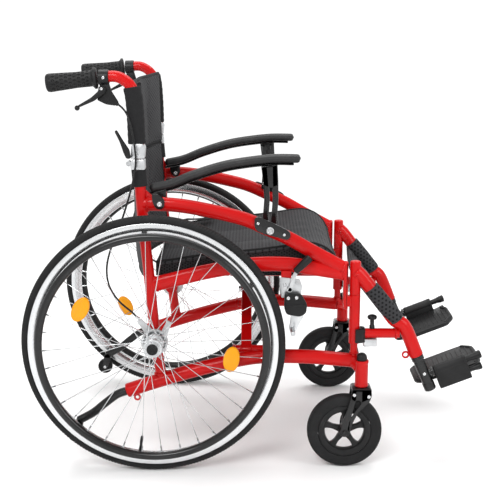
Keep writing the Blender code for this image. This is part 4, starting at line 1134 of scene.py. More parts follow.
    def parking_brake(self) -> None:
        """Makes the parking brake: slotted plate, black cover, lever, shoe arm and roller."""
        base = [plate([(0.2860, 0.4515), (0.3320, 0.4470), (0.3380, 0.4300), (0.3340, 0.4060),
                       (0.2900, 0.4030), (0.2860, 0.4200)], Axis.Y, -0.2604, -0.2572, 0.003),
                bolt((0.2980, -0.2604, 0.4340), Axis.Y, -0.0020, 0.0042),
                bolt((0.3270, -0.2604, 0.4380), Axis.Y, -0.0020, 0.0042)]
        self.put("look_park_plate", base, CAST, "frame", ["park_brake"])
        cover = [plate([(0.2975, 0.4145), (0.3350, 0.4160), (0.3490, 0.3910), (0.3470, 0.3700),
                        (0.3330, 0.3615), (0.3020, 0.3670), (0.2960, 0.3840)], Axis.Y,
                       -0.2740, -0.2664, 0.006, 0.0018),
                 plate([(0.2975, 0.3900), (0.3480, 0.3925), (0.3475, 0.3880), (0.2975, 0.3855)],
                       Axis.Y, -0.2752, -0.2730, 0.001, 0.0008),
                 plate([(0.2990, 0.4130), (0.3340, 0.4150), (0.3420, 0.3840), (0.2990, 0.3840)],
                       Axis.Y, -0.2668, -0.2600, 0.004, 0.0010)]
        self.put("look_park_cover", cover, BLACK, "frame")
        heads = [bolt((x, -0.2740, z), Axis.Y, -0.0020, 0.0044)
                 for x, z in ((0.3060, 0.4060), (0.3245, 0.4070))]
        self.put("look_park_bolts", heads, BRIGHT, "frame")
        lever = [plate([(0.3040, 0.4200), (0.3130, 0.4190), (0.3240, 0.4560), (0.3290, 0.4660),
                        (0.3220, 0.4700), (0.3150, 0.4590)], Axis.Y, -0.2690, -0.2645, 0.003),
                 drum((0.3090, 0, 0.4240), Axis.Y, 0.0060, -0.2690, -0.2630, 32, 0.0006)]
        self.put("look_park_lever", lever, CAST, "park_lever", ["park_lever"])
        grip = sweep([(0.3205, -0.2685, 0.4660), (0.3378, -0.2685, 0.4830),
                      (0.3550, -0.2685, 0.5000)], 0.0092, count=30, round_end=0.005,
                     swell=np.array([0.80, 0.86, 0.94, 1.0, 1.04, 1.0]))
        self.put("look_park_grip", [grip], BLACK, "park_lever")
        arm = [plate([(0.3130, 0.3790), (0.3400, 0.3790), (0.3420, 0.3600), (0.3340, 0.3480),
                      (0.3260, 0.3280), (0.3190, 0.3215), (0.3110, 0.3230), (0.3080, 0.3330),
                      (0.3110, 0.3520)],
                     Axis.Y, -0.2655, -0.2615, 0.004),
               rod((0.3165, -0.2630, 0.3300), (0.3165, -0.3030, 0.3300), 0.0058),
               bolt((0.3165, -0.3030, 0.3300), Axis.Y, -0.0010, 0.0044)]
        self.put("look_park_shoe", arm, SATIN, "park_shoe", ["park_shoe"])


@dataclass
class Caster(Assembly):
    """Front caster: slotted fork, five-spoke wheel and solid tyre."""

    def fork(self) -> list[Shell]:
        """Returns: pressed fork legs with their rivet plate, crown and stem."""
        y = CASTER_Y
        bars = [[(0.4535, 0.1900), (0.4520, 0.1730), (0.4450, 0.1480), (0.4310, 0.1080),
                 (0.4290, 0.0850), (0.4340, 0.0772), (0.4440, 0.0772), (0.4500, 0.0860),
                 (0.4500, 0.1050), (0.4540, 0.1300), (0.4600, 0.1560), (0.4640, 0.1700),
                 (0.4640, 0.1900)],
                [(0.4760, 0.1900), (0.4760, 0.1600), (0.4600, 0.1370), (0.4480, 0.1150),
                 (0.4440, 0.0950), (0.4500, 0.0880), (0.4570, 0.1120), (0.4690, 0.1370),
                 (0.4950, 0.1640), (0.4990, 0.1760), (0.4990, 0.1900)],
                [(0.4535, 0.1930), (0.4520, 0.1700), (0.4600, 0.1640), (0.4690, 0.1680),
                 (0.4760, 0.1610), (0.4985, 0.1720), (0.4990, 0.1930)]]
        parts = []
        for low, high in ((y - 0.0225, y - 0.0185), (y + 0.0185, y + 0.0225)):
            parts += [plate(outline, Axis.Y, low, high, 0.003, 0.0008) for outline in bars]
        crown = [(0.4535, 0.1870), (0.4990, 0.1870), (0.4990, 0.1915), (0.4960, 0.1945),
                 (0.4570, 0.1945), (0.4535, 0.1915)]
        parts.append(plate(crown, Axis.Y, y - 0.0225, y + 0.0225, 0.002, 0.0015))
        parts.append(drum((STEM_X, y, 0), Axis.Z, 0.0125, 0.1920, 0.1952, 32, 0.0006))
        return parts

    def wheel(self) -> list[Shell]:
        """Returns: moulded wheel: rim bed, hub and five spokes; the dishing of the spokes and the
        ring of ribs are not drawn.
        """
        y = CASTER_Y
        centre = (CASTER_X, 0, CASTER_Z)
        parts = [
            revolve([(0.0612, y - 0.0122), (0.0612, y + 0.0122), (0.0560, y + 0.0130),
                     (0.0480, y + 0.0110), (0.0455, y + 0.0060), (0.0450, y), (0.0455, y - 0.0060),
                     (0.0480, y - 0.0110), (0.0560, y - 0.0130)], centre, steps=96, closed=True,
                    rounding=0.0012),
            revolve([(0.0056, y - 0.0175), (0.0118, y - 0.0175), (0.0138, y - 0.0120),
                     (0.0150, y), (0.0138, y + 0.0120), (0.0118, y + 0.0175),
                     (0.0056, y + 0.0175)], centre, steps=60, closed=True, rounding=0.0010)]
        for i in range(5):
            a = math.radians(90 + 72 * i)
            c, s = math.cos(a), math.sin(a)
            outline = [(CASTER_X + p * c - q * s, CASTER_Z + p * s + q * c) for p, q in
                       ((0.010, -0.0075), (0.030, -0.0048), (0.0420, -0.0070), (0.0490, -0.0140),
                        (0.0490, 0.0140), (0.0420, 0.0070), (0.030, 0.0048), (0.010, 0.0075))]
            parts.append(plate(outline, Axis.Y, y - 0.0062, y + 0.0062, 0.004, 0.0016))
        return parts

    def tyre(self) -> Shell:
        """Returns: solid tyre with a ribbed, crowned tread."""
        y = CASTER_Y
        half = [(0.0618, 0.0128), (0.0680, 0.0142), (0.0770, 0.0150), (0.0825, 0.0138),
                (0.0858, 0.0108), (0.0866, 0.0082), (0.0860, 0.0072), (0.0869, 0.0062),
                (0.0872, 0.0020)]
        profile = [(r, y - s) for r, s in half] + [(r, y + s) for r, s in half[::-1]]
        return revolve(profile, (CASTER_X, 0, CASTER_Z), steps=160, closed=True, rounding=0.0010)

    def build(self) -> None:
        """Makes every piece of the caster."""
        y = CASTER_Y
        self.put("look_fork", self.fork(), STEEL, "caster_fork", ["caster_fork"])
        spots = ((0.4590, 0.1800), (0.4925, 0.1760))
        rivets = [bolt((x, y + sign * 0.0225, z), Axis.Y, sign * 0.0018, 0.0042)
                  for sign in (-1, 1) for x, z in spots]
        self.put("look_fork_rivets", rivets, BRIGHT, "caster_fork")
        axle = [rod((CASTER_X, y - 0.0235, CASTER_Z), (CASTER_X, y + 0.0235, CASTER_Z), 0.0050),
                bolt((CASTER_X, y - 0.0225, CASTER_Z), Axis.Y, -0.0038, 0.0068),
                bolt((CASTER_X, y + 0.0225, CASTER_Z), Axis.Y, 0.0038, 0.0068)]
        self.put("look_fork_axle", axle, STEEL, "caster_fork")
        self.put("look_caster_wheel", self.wheel(), BLACK, "caster_wheel", ["caster_wheel"])
        self.put("look_caster_tyre", [self.tyre()], TYRE, "caster_wheel", ["caster_tyre"])


@dataclass
class Footrest(Assembly):
    """Swing-away hanger, its latch, the telescopic leg, the footplate and the calf strap."""

    hanger: list[tuple[float, ...]] = field(default_factory=lambda: in_plane(
        FRAME_Y, (HANGER_X, 0.4640), (0.4740, 0.4500), (0.4920, 0.4265), (0.5220, 0.3880),
        (0.5500, 0.3490)) + [tuple(LEG_TOP - 0.075 * LEG_DIR), tuple(LEG_TOP)])

    def tilted(self, outline: Sequence[Sequence[float]], low: float, high: float,
               corner: float = 0.004, edge: float = 0.0012) -> Shell:
        """Plate in the footplate's tilted plane.

        Args: outline in (along, across); low and high depth; corner and edge rounding.
        Returns: the closed plate.
        """
        flat = plate(outline, Axis.Z, low, high, corner, edge)
        v = flat.verts
        flat.verts = PLATE_O + v[:, :1] * PLATE_U + v[:, 1:2] * UP_Y + v[:, 2:] * PLATE_W
        return flat.outward()

    def build_hanger(self) -> None:
        """Makes the hanger tube, its collars and the latch."""
        y = FRAME_Y
        tubes = [
            drum((HANGER_X, y, 0), Axis.Z, 0.0125, 0.4088, 0.4830),
            sweep(self.hanger, 0.0160, count=60, sides=32),
            rod((0.4800, y, 0.3152), (0.5640, y, 0.3152), 0.0113, 28),
            weld((0.5555, y, 0.3152), (1, 0, 0), 0.0114, 0.0114),
            weld((0.4640, y, 0.4560), (0.75, 0, -0.66), 0.0150, 0.0150, 0.0016)]
        eye = revolve([(0.0088, y - 0.0022), (0.0088, y + 0.0022), (0.0048, y + 0.0022),
                       (0.0048, y - 0.0022)], (0.5800, 0, 0.2630), steps=40, closed=True,
                      rounding=0.0008)
        self.put("look_hanger", tubes + [eye], RED, "hanger", ["hanger"])
        cap = revolve([(0, 0.4826), (0.0122, 0.4826), (0.0122, 0.4845), (0.0100, 0.4862),
                       (0, 0.4868)], (HANGER_X, y, 0), Axis.Z, 40, rounding=0.0008)
        self.put("look_hanger_cap", [cap], RED, "hanger")
        hook = [(HANGER_X + 0.0131, y + 0.012), (HANGER_X + 0.0200, y + 0.013),
                (HANGER_X + 0.0245, y + 0.006), (HANGER_X + 0.0245, y - 0.012),
                (HANGER_X + 0.0160, y - 0.0190), (HANGER_X + 0.0020, y - 0.0200),
                (HANGER_X + 0.0010, y - 0.0134), (HANGER_X + 0.0070, y - 0.0118),
                (HANGER_X + 0.0110, y - 0.0078), (HANGER_X + 0.0131, y - 0.0020)]
        block = [plate(hook, Axis.Z, 0.2960, 0.3285, 0.002, 0.0012)]
        self.put("look_latch_block", block, BLACK, "hanger", ["hanger_latch"])
        guide = [plate([(0.4805, y - 0.0110), (0.5120, y - 0.0110), (0.5120, y + 0.0110),
                        (0.4805, y + 0.0110)], Axis.Z, 0.2855, 0.3030, 0.003, 0.0012)]
        self.put("look_latch_guide", guide, CAST, "hanger")
        knob = revolve([(0, 0.3268), (0.0062, 0.3268), (0.0062, 0.3330), (0.0048, 0.3350),
                        (0.0048, 0.3470), (0.0100, 0.3498), (0.0112, 0.3530), (0.0100, 0.3570),
                        (0.0060, 0.3590), (0, 0.3592)], (0.5005, y, 0), Axis.Z, 40,
                       rounding=0.0010)
        self.put("look_latch_knob", [knob], BLACK, "latch_knob", ["latch_knob"])

    def build_leg(self) -> None:
        """Makes the telescopic leg with its end collar and pin."""
        end = LEG_TOP + 0.0900 * LEG_DIR
        leg = [rod(LEG_TOP - 0.0660 * LEG_DIR, end, 0.0130, 32, 0.0015),
               rod(LEG_TOP + 0.0010 * LEG_DIR, LEG_TOP + 0.0120 * LEG_DIR, 0.0148, 32, 0.0015),
               rod(end - 0.0200 * LEG_DIR, end, 0.0140, 32, 0.0020),
               rod(PLATE_O - 0.0240 * PLATE_U, PLATE_O - 0.0005 * PLATE_U, 0.0075),
               rod(PLATE_O - 0.0070 * PLATE_U, PLATE_O - 0.0006 * PLATE_U, 0.0115)]
        self.put("look_leg", leg, STEEL, "leg", ["leg_tube"])
        spot = LEG_TOP + 0.045 * LEG_DIR
        screw = bolt((spot[0], FRAME_Y - 0.0128, spot[2]), Axis.Y, -0.0018, 0.0040)
        self.put("look_leg_screw", [screw], BRIGHT, "leg")

    def build_plate(self) -> None:
        """Makes the footplate: ribbed tread, rubber-skirted barrel and end knobs."""
        tread = self.tilted([(0.002, 0.006), (0.100, 0.006), (0.113, 0.030), (0.113, 0.112),
                             (0.090, 0.146), (-0.010, 0.146), (-0.050, 0.118), (-0.050, 0.040),
                             (-0.034, 0.0215), (0.002, 0.0215)], -0.0290, -0.0180, 0.008, 0.0025)
        lip = self.tilted([(0.094, 0.012), (0.100, 0.010), (0.111, 0.031), (0.111, 0.111),
                           (0.090, 0.142), (0.084, 0.140), (0.104, 0.110), (0.104, 0.033)],
                          -0.0200, -0.0160, 0.004, 0.0012)
        ribs = [self.tilted([(u, low), (u + 0.0030, low), (u + 0.0030, 0.124), (u, 0.124)],
                            -0.0192, -0.0168, 0.0012, 0.0008)
                for u, low in ((-0.040, 0.046), (-0.028, 0.034), (-0.016, 0.030), (-0.004, 0.030),
                               (0.008, 0.026), (0.020, 0.026), (0.032, 0.026), (0.044, 0.026),
                               (0.056, 0.026), (0.068, 0.026), (0.080, 0.026), (0.092, 0.030))]
        self.put("look_footplate", [tread, lip] + ribs, BLACK, "footplate", ["footplate"])
        skirt = self.tilted([(0.0, -0.0125), (0.078, -0.0125), (0.078, 0.0125), (0.0, 0.0125)],
                            -0.0440, 0.0020, 0.003, 0.0030)
        barrel = rod(PLATE_O, PLATE_O + 0.0780 * PLATE_U, 0.0130, 40, 0.0025)
        low = PLATE_O - 0.0270 * PLATE_W
        collars = [rod(PLATE_O + a * PLATE_U, PLATE_O + (a + 0.0035) * PLATE_U, 0.0136, 40, 0.0008)
                   for a in (0.004, 0.070)]
        self.put("look_plate_barrel", [skirt, barrel] + collars, GRIPPY, "footplate")
        knobs = [sweep([root + a * PLATE_U for a in run], radius, count=16, round_end=0.003,
                       swell=np.array([0.75, 0.75, 0.8, 1.0, 1.0]))
                 for root, run, radius in ((PLATE_O, (0.0740, 0.0950, 0.1150), 0.0095),
                                           (low, (0.0740, 0.0920, 0.1080), 0.0085))]
        self.put("look_plate_knobs", knobs, BLACK, "footplate")

    def build_strap(self) -> None:
        """Makes the padded calf-strap half: a wrap round the tube, then a slack band inward.

        The wrap is a sleeve of radius 0.0192; the band's centre line sags by 0.014 sin(pi t / 2)
        across the lean of the tube, and its section is a flat superellipse 4.6 mm thick that
        swells by 1.2 mm a side towards the middle of its width.
        """
        y = FRAME_Y
        lean = np.array([0.0625, 0.0, -0.0779])
        base = np.array([0.4960, y, 0.4250])
        across = np.array([0.78, 0.0, 0.626])
        wrap = sweep([base + s * lean - 0.0012 * across for s in (0.0, 0.25, 0.5, 0.75, 1.0)],
                     0.0192, count=28, sides=40, round_end=0.003,
                     swell=np.array([0.96, 1.0, 1.0, 1.02, 1.0, 1.0, 0.96]))
        t = np.linspace(0, 1, 34)[:, None]
        track = (base + 0.5 * lean) + across * (-0.0170 - 0.0140 * np.sin(t * math.pi / 2))
        track = track + UP_Y * (0.008 + t * (-FRAME_Y - 0.0084))
        a = turns(56)
        c, s = np.cos(a), np.sin(a)
        wide = np.sign(c) * np.abs(c) ** 0.35 * 0.5
        thick = np.sign(s) * np.abs(s) ** 0.8 * (0.0023 + 0.0012 * (1 - (2 * wide) ** 2))
        band = loft(track[:, None] + wide[None, :, None] * 0.97 * lean
                    + thick[None, :, None] * across)
        piece = self.put("look_calf_strap", [wrap, band], MESH_STRAP, "hanger", ["calf_strap"])
        edges = [sweep(track + k * lean, 0.0032, 0.0028, sides=12, across=across, round_end=0.001)
                 for k in (-0.475, 0.475)]
        trim = self.put("look_strap_binding", edges, TAPE, "hanger")
        for obj in (piece, trim):
            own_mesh(obj)

    def build(self) -> None:
        """Makes every piece of the footrest."""
        self.build_hanger()
        self.build_leg()
        self.build_plate()
        self.build_strap()


@dataclass
class Armrest(Assembly):
    """Flip-up armrest: slim curved pad on a black carrier with a slotted post."""

    line: tuple[tuple[float, float], ...] = (
        (-0.010, 0.6450), (0.040, 0.6560), (0.090, 0.6760), (0.150, 0.6950), (0.200, 0.7050),
        (0.270, 0.7130), (0.334, 0.7130))

    def build(self) -> None:
        """Makes the pad and its carrier."""
        y = ARM_Y
        path = spline([(x, y, z + 0.0035) for x, z in self.line], 90)
        way = tangents(path)
        up = np.cross(way, (0.0, 1.0, 0.0))
        a = turns(48)
        c, s = np.cos(a), np.sin(a)
        t = np.linspace(0, 1, len(path))
        ends = np.clip(np.minimum(t, 1 - t) / 0.030, 0, 1)
        size = (1 - (1 - ends) ** 2.6) ** 0.5 * 0.985 + 0.015
        wide = np.sign(c) * np.abs(c) ** 0.75 * 0.0195
        deep = np.where(s > 0, np.abs(s) ** 0.8 * 0.0090, -np.abs(s) ** 0.6 * 0.0098)
        crease = 0.0012 * np.exp(-((np.abs(c) - 0.93) / 0.05) ** 2) * (s > 0)
        out = np.outer(size, wide - np.sign(c) * crease)[..., None]
        rise = np.outer(size, deep)[..., None]
        pad = self.put("look_arm_pad", [loft(path[:, None] + out * UP_Y + rise * up[:, None])],
                       PAD, "armrest", ["armrest_pad"], 50)
        rib = [(x, y, z - 0.0092) for x, z in self.line[:-1]] + [(0.318, y, 0.7038)]
        outer, inner, under = -0.2290, -0.2220, -0.2080
        carrier = [
            sweep(rib, 0.0100, 0.0032, count=50),
            plate([(0.2440, 0.7000), (0.2580, 0.7015), (0.2615, 0.6650), (0.2640, 0.6250),
                   (0.2605, 0.5715), (0.2475, 0.5760), (0.2510, 0.6250), (0.2485, 0.6650)],
                  Axis.Y, outer, inner, 0.002, 0.0018),
            plate([(0.2682, 0.7025), (0.2810, 0.7040), (0.2830, 0.6650), (0.2835, 0.6250),
                   (0.2795, 0.5660), (0.2665, 0.5690), (0.2700, 0.6250), (0.2690, 0.6650)],
                  Axis.Y, outer, inner, 0.002, 0.0018),
            plate([(0.2495, 0.6560), (0.2605, 0.6520), (0.2700, 0.6520), (0.2825, 0.6560),
                   (0.2810, 0.7035), (0.2440, 0.7000)], Axis.Y, outer, inner - 0.0002, 0.003,
                  0.0018),
            plate([(0.2480, 0.6960), (0.2785, 0.6990), (0.2785, 0.7030), (0.2480, 0.7000)],
                  Axis.Y, outer, under, 0.001, 0.0010),
            plate([(0.0020, 0.6400), (0.0290, 0.6470), (0.0290, 0.6200), (0.0240, 0.6110),
                   (0.0165, 0.6080), (0.0090, 0.6110), (0.0020, 0.6250)], Axis.Y, outer,
                  inner - 0.0020, 0.003, 0.0010),
            plate([(0.0020, 0.6370), (0.0290, 0.6440), (0.0290, 0.6480), (0.0020, 0.6410)],
                  Axis.Y, outer, under, 0.001, 0.0010),
            rod((0.0165, -0.2320, 0.6196), (0.0165, -0.2200, 0.6196), 0.0058)]
        self.put("look_arm_carrier", carrier, STEEL, "armrest", ["armrest_bar"])
        screws = [bolt((0.2530, -0.2222, 0.5900), Axis.Y, 0.0016, 0.0036),
                  bolt((0.0165, -0.2202, 0.6196), Axis.Y, 0.0020, 0.0052)]
        self.put("look_arm_screws", screws, BRIGHT, "armrest")


@dataclass
class PushHandle(Assembly):
    """Folding upper back tube with its grip, attendant brake, latch and cable."""

    cane: list[tuple[float, float, float]] = field(default_factory=lambda: in_plane(
        FRAME_Y, (-0.0305, 0.7210), (-0.0285, 0.7600), (-0.0292, 0.8050), (-0.0330, 0.8500),
        (-0.0440, 0.8810), (-0.0720, 0.9000), (-0.1130, 0.8990)))
    cable: tuple[tuple[float, float, float], ...] = (
        (-0.0745, -0.2450, 0.8420), (-0.0620, -0.2520, 0.8330), (-0.0510, -0.2620, 0.8200),
        (-0.0430, -0.2690, 0.8000), (-0.0390, -0.2720, 0.7800), (-0.0355, -0.2720, 0.7560),
        (-0.0330, -0.2715, 0.7300), (-0.0340, -0.2700, 0.7050), (-0.0400, -0.2680, 0.6750),
        (-0.0480, -0.2640, 0.6450), (-0.0680, -0.2600, 0.5850), (-0.0960, -0.2580, 0.5150),
        (-0.1060, -0.2580, 0.4700), (-0.1010, -0.2590, 0.4300), (-0.0800, -0.2600, 0.3950),
        (-0.0520, -0.2610, 0.3700), (-0.0380, -0.2670, 0.3580))

    def grip(self) -> Shell:
        """Contoured rubber grip, dimpled all over.

        The radius swells towards both ends; dimples are the crests of a lattice of cosine waves
        in length and turn, 2.6 mm deep and clear of the flange.
        Returns: the closed grip.
        """
        start = np.array([-0.1165, FRAME_Y, 0.8980])
        run = np.array([-0.2290, FRAME_Y, 0.8860]) - start
        length = float(np.linalg.norm(run))
        way = run / length
        up = np.cross(UP_Y, way)
        s = np.linspace(0, length, 260)[:, None]
        a = turns(208)[None, :]
        stations = np.array([0.0, 0.0008, 0.0025, 0.0062, 0.0085, 0.0115, 0.045, 0.085, 0.104,
                             length - 0.004, length - 0.001, length])
        sizes = np.array([0.0150, 0.0225, 0.0240, 0.0238, 0.0205, 0.0178, 0.0175, 0.0196, 0.0205,
                          0.0196, 0.0165, 0.0100])
        radius = np.interp(s, stations, sizes)
        u, v = a * 13, s * 2 * math.pi / 0.0095
        lattice = np.cos(u) * np.cos(v * 0.5) + 0.3 * np.cos(v) - 0.1
        dimple = np.clip((lattice - 0.16) / 0.34, 0, 1)
        clear = np.clip((s - 0.016) / 0.003, 0, 1) * np.clip((length - 0.010 - s) / 0.003, 0, 1)
        radius = radius - 0.0026 * dimple * clear
        return loft(start + s[..., None] * way + (0.86 * radius * np.cos(a))[..., None] * UP_Y
                    + (radius * np.sin(a))[..., None] * up)

    def build(self) -> None:
        """Makes every piece of the handle."""
        y = FRAME_Y
        self.put("look_cane", [sweep(self.cane, 0.0125, count=70, sides=32)], RED, "handle",
                 ["handle_tube"])
        self.put("look_grip", [self.grip()], GRIPPY, "handle", ["grip"], 70)
        clamp = [rod((-0.1130, y, 0.8990), (-0.0905, y, 0.8995), 0.0166, 36, 0.0015),
                 plate([(-0.1120, 0.8900), (-0.0915, 0.8900), (-0.0850, 0.8680), (-0.0700, 0.8440),
                        (-0.0760, 0.8370), (-0.0980, 0.8400), (-0.1180, 0.8500),
                        (-0.1080, 0.8640)], Axis.Y, y - 0.0053, y + 0.0060, 0.004, 0.0022),
                 rod((-0.0800, y, 0.8520), (-0.0715, y, 0.8375), 0.0040, 16)]
        self.put("look_brake_clamp", clamp, BLACK, "handle")
        screw = bolt((-0.1010, y - 0.0166, 0.8990), Axis.Y, -0.0016, 0.0036)
        self.put("look_clamp_screw", [screw], BRIGHT, "handle")
        blade = plate([(-0.1120, 0.8800), (-0.1000, 0.8800), (-0.0940, 0.8740), (-0.1000, 0.8640),
                       (-0.1230, 0.8480), (-0.1560, 0.8340), (-0.1600, 0.8380), (-0.1290, 0.8560),
                       (-0.1130, 0.8700)], Axis.Y, -0.2595, -0.2508, 0.004, 0.0022)
        ball = revolve([(0, -0.2620), (0.0045, -0.2600), (0.0062, -0.2560), (0.0045, -0.2520),
                        (0, -0.2500)], (-0.1605, 0, 0.8330), Axis.Y, 28, rounding=0.0020)
        self.put("look_brake_lever", [blade, ball], BLACK, "brake_lever", ["brake_lever"])
        self.put("look_lever_pin", [bolt((-0.1057, -0.2595, 0.8750), Axis.Y, -0.0018, 0.0038)],
                 BRIGHT, "brake_lever")
        collar = [plate([(-0.0455, 0.7212), (-0.0150, 0.7212), (-0.0130, 0.7460),
                         (-0.0180, 0.7540), (-0.0400, 0.7560), (-0.0440, 0.7480)], Axis.Y,
                        y - 0.0150, y + 0.0140, 0.003, 0.0022),
                  bolt((-0.0300, y - 0.0150, 0.7330), Axis.Y, -0.0016, 0.0042)]
        self.put("look_back_latch", collar, CAST, "handle", ["back_latch"])
        lever = plate([(-0.0435, 0.7230), (-0.0540, 0.7220), (-0.0600, 0.7350), (-0.0680, 0.7600),
                       (-0.0790, 0.7830), (-0.0740, 0.7860), (-0.0620, 0.7650), (-0.0470, 0.7420)],
                      Axis.Y, -0.2690, -0.2605, 0.004, 0.0020)
        self.put("look_latch_lever", [lever], BLACK, "latch_lever", ["latch_lever"])
        sleeve = sweep(in_plane(y, (-0.0325, 0.7530), (-0.0335, 0.8050), (-0.0360, 0.8500),
                                (-0.0405, 0.8780)), 0.0150, 0.0195, count=60, round_end=0.0014,
                       sides=48, swell=1 + 0.022 * np.sin(np.arange(24) * 2.1) - 0.02
                       * (np.arange(24) == 0))
        self.put("look_cane_sleeve", [sleeve], TAPE, "handle")
        cord = sweep(self.cable, 0.0022, count=150, sides=12).on(self.side)
        obj = cord.to_object(self.tag("look_brake_cable"), BLACK.build())
        self.tag("handle")
        self.tag("frame")
        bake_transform(obj)
        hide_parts(self.tag("brake_cable"))
        anchor = rod((-0.0420, -0.2668, 0.3605), (-0.0330, -0.2668, 0.3545), 0.0034, 16)
        self.put("look_cable_anchor", [anchor], BRIGHT, "frame")


@dataclass
class AntiTipper(Assembly):
    """Curved anti-tipper tube with its fork and roller.

    Args:
        axle: (x, z) of the roller's axle.
    """

    axle: tuple[float, float] = (-0.1910, 0.0670)

    def build(self) -> None:
        """Makes every piece of the anti-tipper."""
        y = FRAME_Y
        x, z = self.axle
        parts = [sweep(in_plane(y, (-0.0700, 0.1732), (-0.0930, 0.1640), (-0.1220, 0.1420),
                                (-0.1500, 0.1190), (-0.1850, 0.0995)), 0.0098, count=40),
                 plate([(x + 0.0090, z + 0.0410), (x - 0.0020, z + 0.0330),
                        (x - 0.0032, z + 0.0255), (x + 0.0170, z + 0.0255),
                        (x + 0.0170, z + 0.0310)], Axis.Y, y - 0.0112, y + 0.0112, 0.003, 0.0015)]
        for low in (y - 0.0112, y + 0.0088):
            parts.append(plate([(x + 0.0090, z + 0.0410), (x - 0.0020, z + 0.0330),
                                (x - 0.0070, z - 0.0050), (x + 0.0030, z - 0.0090),
                                (x + 0.0120, z + 0.0070), (x + 0.0170, z + 0.0310)],
                               Axis.Y, low, low + 0.0024, 0.004))
        self.put("look_tipper", parts, STEEL, "anti_tipper", ["anti_tipper"])
        pins = [bolt((x, y + s * 0.0112, z), Axis.Y, s * 0.0016, 0.0042)
                for s in (-1, 1)]
        self.put("look_tipper_pins", pins, BRIGHT, "anti_tipper")
        roller = revolve([(0, y - 0.0082), (0.0080, y - 0.0082), (0.0090, y - 0.0060),
                          (0.0160, y - 0.0060), (0.0180, y - 0.0082), (0.0200, y - 0.0055),
                          (0.0200, y + 0.0055), (0.0180, y + 0.0082), (0.0160, y + 0.0060),
                          (0.0090, y + 0.0060), (0.0080, y + 0.0082), (0, y + 0.0082)],
                         (x, 0, z), Axis.Y, 56, rounding=0.0010)
        self.put("look_tipper_roller", [roller], TYRE, "tipper_roller", ["tipper_roller"])


@dataclass
class Brace:
    """Crossed folding brace: two flat bars with sleeves, seat tubes and the centre bolt.

    Args:
        reach: half the distance between the seat tubes.
        heights: of the lower pivots and of the seat tubes.
        seat: (rear, front) ends of the seat tubes.
    """

    reach: float = 0.205
    heights: tuple[float, float] = (0.262, 0.452)
    seat: tuple[float, float] = (0.0850, 0.4000)

    def bar(self, sign: float, low_x: float, high_x: float) -> list[Shell]:
        """Args: sign: +1 from the right base; low_x, high_x: its thickness.  Returns: shells."""
        a = np.array([0.0, -sign * self.reach, self.heights[0]])
        b = np.array([0.0, sign * self.reach, self.heights[1]])
        way = (b - a) / np.linalg.norm(b - a)
        over = np.array([0.0, -way[2], way[1]])
        corners = [a - 0.0095 * over, b - 0.0095 * over, b + 0.0095 * over, a + 0.0095 * over]
        diagonal = plate([(p[1], p[2]) for p in corners], Axis.X, low_x, high_x, 0.002, 0.0030)
        sleeve = sweep([(0.1844, a[1], a[2]), (0.2616, a[1], a[2])], 0.0108)
        tube = sweep([(x, b[1], b[2]) for x in self.seat], 0.0108, round_end=0.002)
        beads = [weld((x, p[1], p[2]), (1, 0, 0), 0.0106, 0.0106, 0.0016)
                 for p in (a, b) for x in (low_x, high_x)]
        return [diagonal, sleeve, tube] + beads

    def build(self) -> None:
        """Makes both diagonals, each with its bolt head and tube plugs."""
        middle = sum(self.heights) / 2
        for name, sign, low, high in (("brace_a", 1.0, 0.1975, 0.2225),
                                      ("brace_b", -1.0, 0.2231, 0.2480)):
            rig("look_" + name, Shell.join(self.bar(sign, low, high)), RED, name, [name])
            x = low if sign > 0 else high
            face = x - sign * 0.0040
            head = [rod((x, 0, middle), (face, 0, middle), 0.0085, 24),
                    bolt((face, 0, middle), Axis.X, -sign * 0.0040, 0.0068)]
            rig(f"look_{name}_bolt", Shell.join(head), BRIGHT, name)
            plugs = [revolve([(0, end), (0.0104, end), (0.0104, end + out * 0.0020),
                              (0, end + out * 0.0024)], (0, sign * self.reach, self.heights[1]),
                             Axis.X, 28, rounding=0.0006) for end, out in zip(self.seat, (-1, 1))]
            rig(f"look_{name}_plugs", Shell.join(plugs), BLACK, name)


# ------------------------------------------------------------------ upholstery
@dataclass(frozen=True)
class Inflation:
    """Cloth settings that puff a sewn shell.

    Args:
        pressure: air pressure inside.
        frames: steps simulated.
        cap: furthest a point may move, in metres.
        stiff: stretch stiffness of the cloth.
    """

    pressure: float = 3.0
    frames: int = 16
    cap: float = 0.008
    stiff: float = 18.0

    def settle(self, obj: bpy.types.Object, held: Array) -> None:
        """Runs the simulation and writes its result into the mesh.

        Args: obj: the shell; held: which vertices are sewn down.
        """
        scene = bpy.context.scene
        pins = obj.vertex_groups.new(name="sewn")
        pins.add(np.flatnonzero(held).tolist(), 1.0, "REPLACE")
        rest = np.zeros(len(obj.data.vertices) * 3, np.float32)
        obj.data.vertices.foreach_get("co", rest)
        cloth = obj.modifiers.new("cloth", "CLOTH")
        settings = cloth.settings
        settings.quality = 6
        settings.mass = 0.25
        settings.tension_stiffness = self.stiff
        settings.compression_stiffness = self.stiff
        settings.shear_stiffness = self.stiff * 0.5
        settings.bending_stiffness = 0.8
        settings.use_pressure = True
        settings.uniform_pressure_force = self.pressure
        settings.vertex_group_mass = "sewn"
        settings.effector_weights.gravity = 0.0
        cloth.collision_settings.use_collision = False
        for frame_number in range(1, self.frames + 1):
            scene.frame_set(frame_number)
        graph = bpy.context.evaluated_depsgraph_get()
        settled = obj.evaluated_get(graph)
        moved = np.zeros_like(rest)
        settled.data.vertices.foreach_get("co", moved)
        obj.modifiers.remove(cloth)
        scene.frame_set(1)
        shift = (moved - rest).reshape(-1, 3)
        size = np.maximum(np.linalg.norm(shift, axis=1, keepdims=True), 1e-9)
        shift *= np.minimum(1.0, self.cap / size)
        obj.data.vertices.foreach_set("co", (rest.reshape(-1, 3) + shift).ravel())
        obj.data.update()


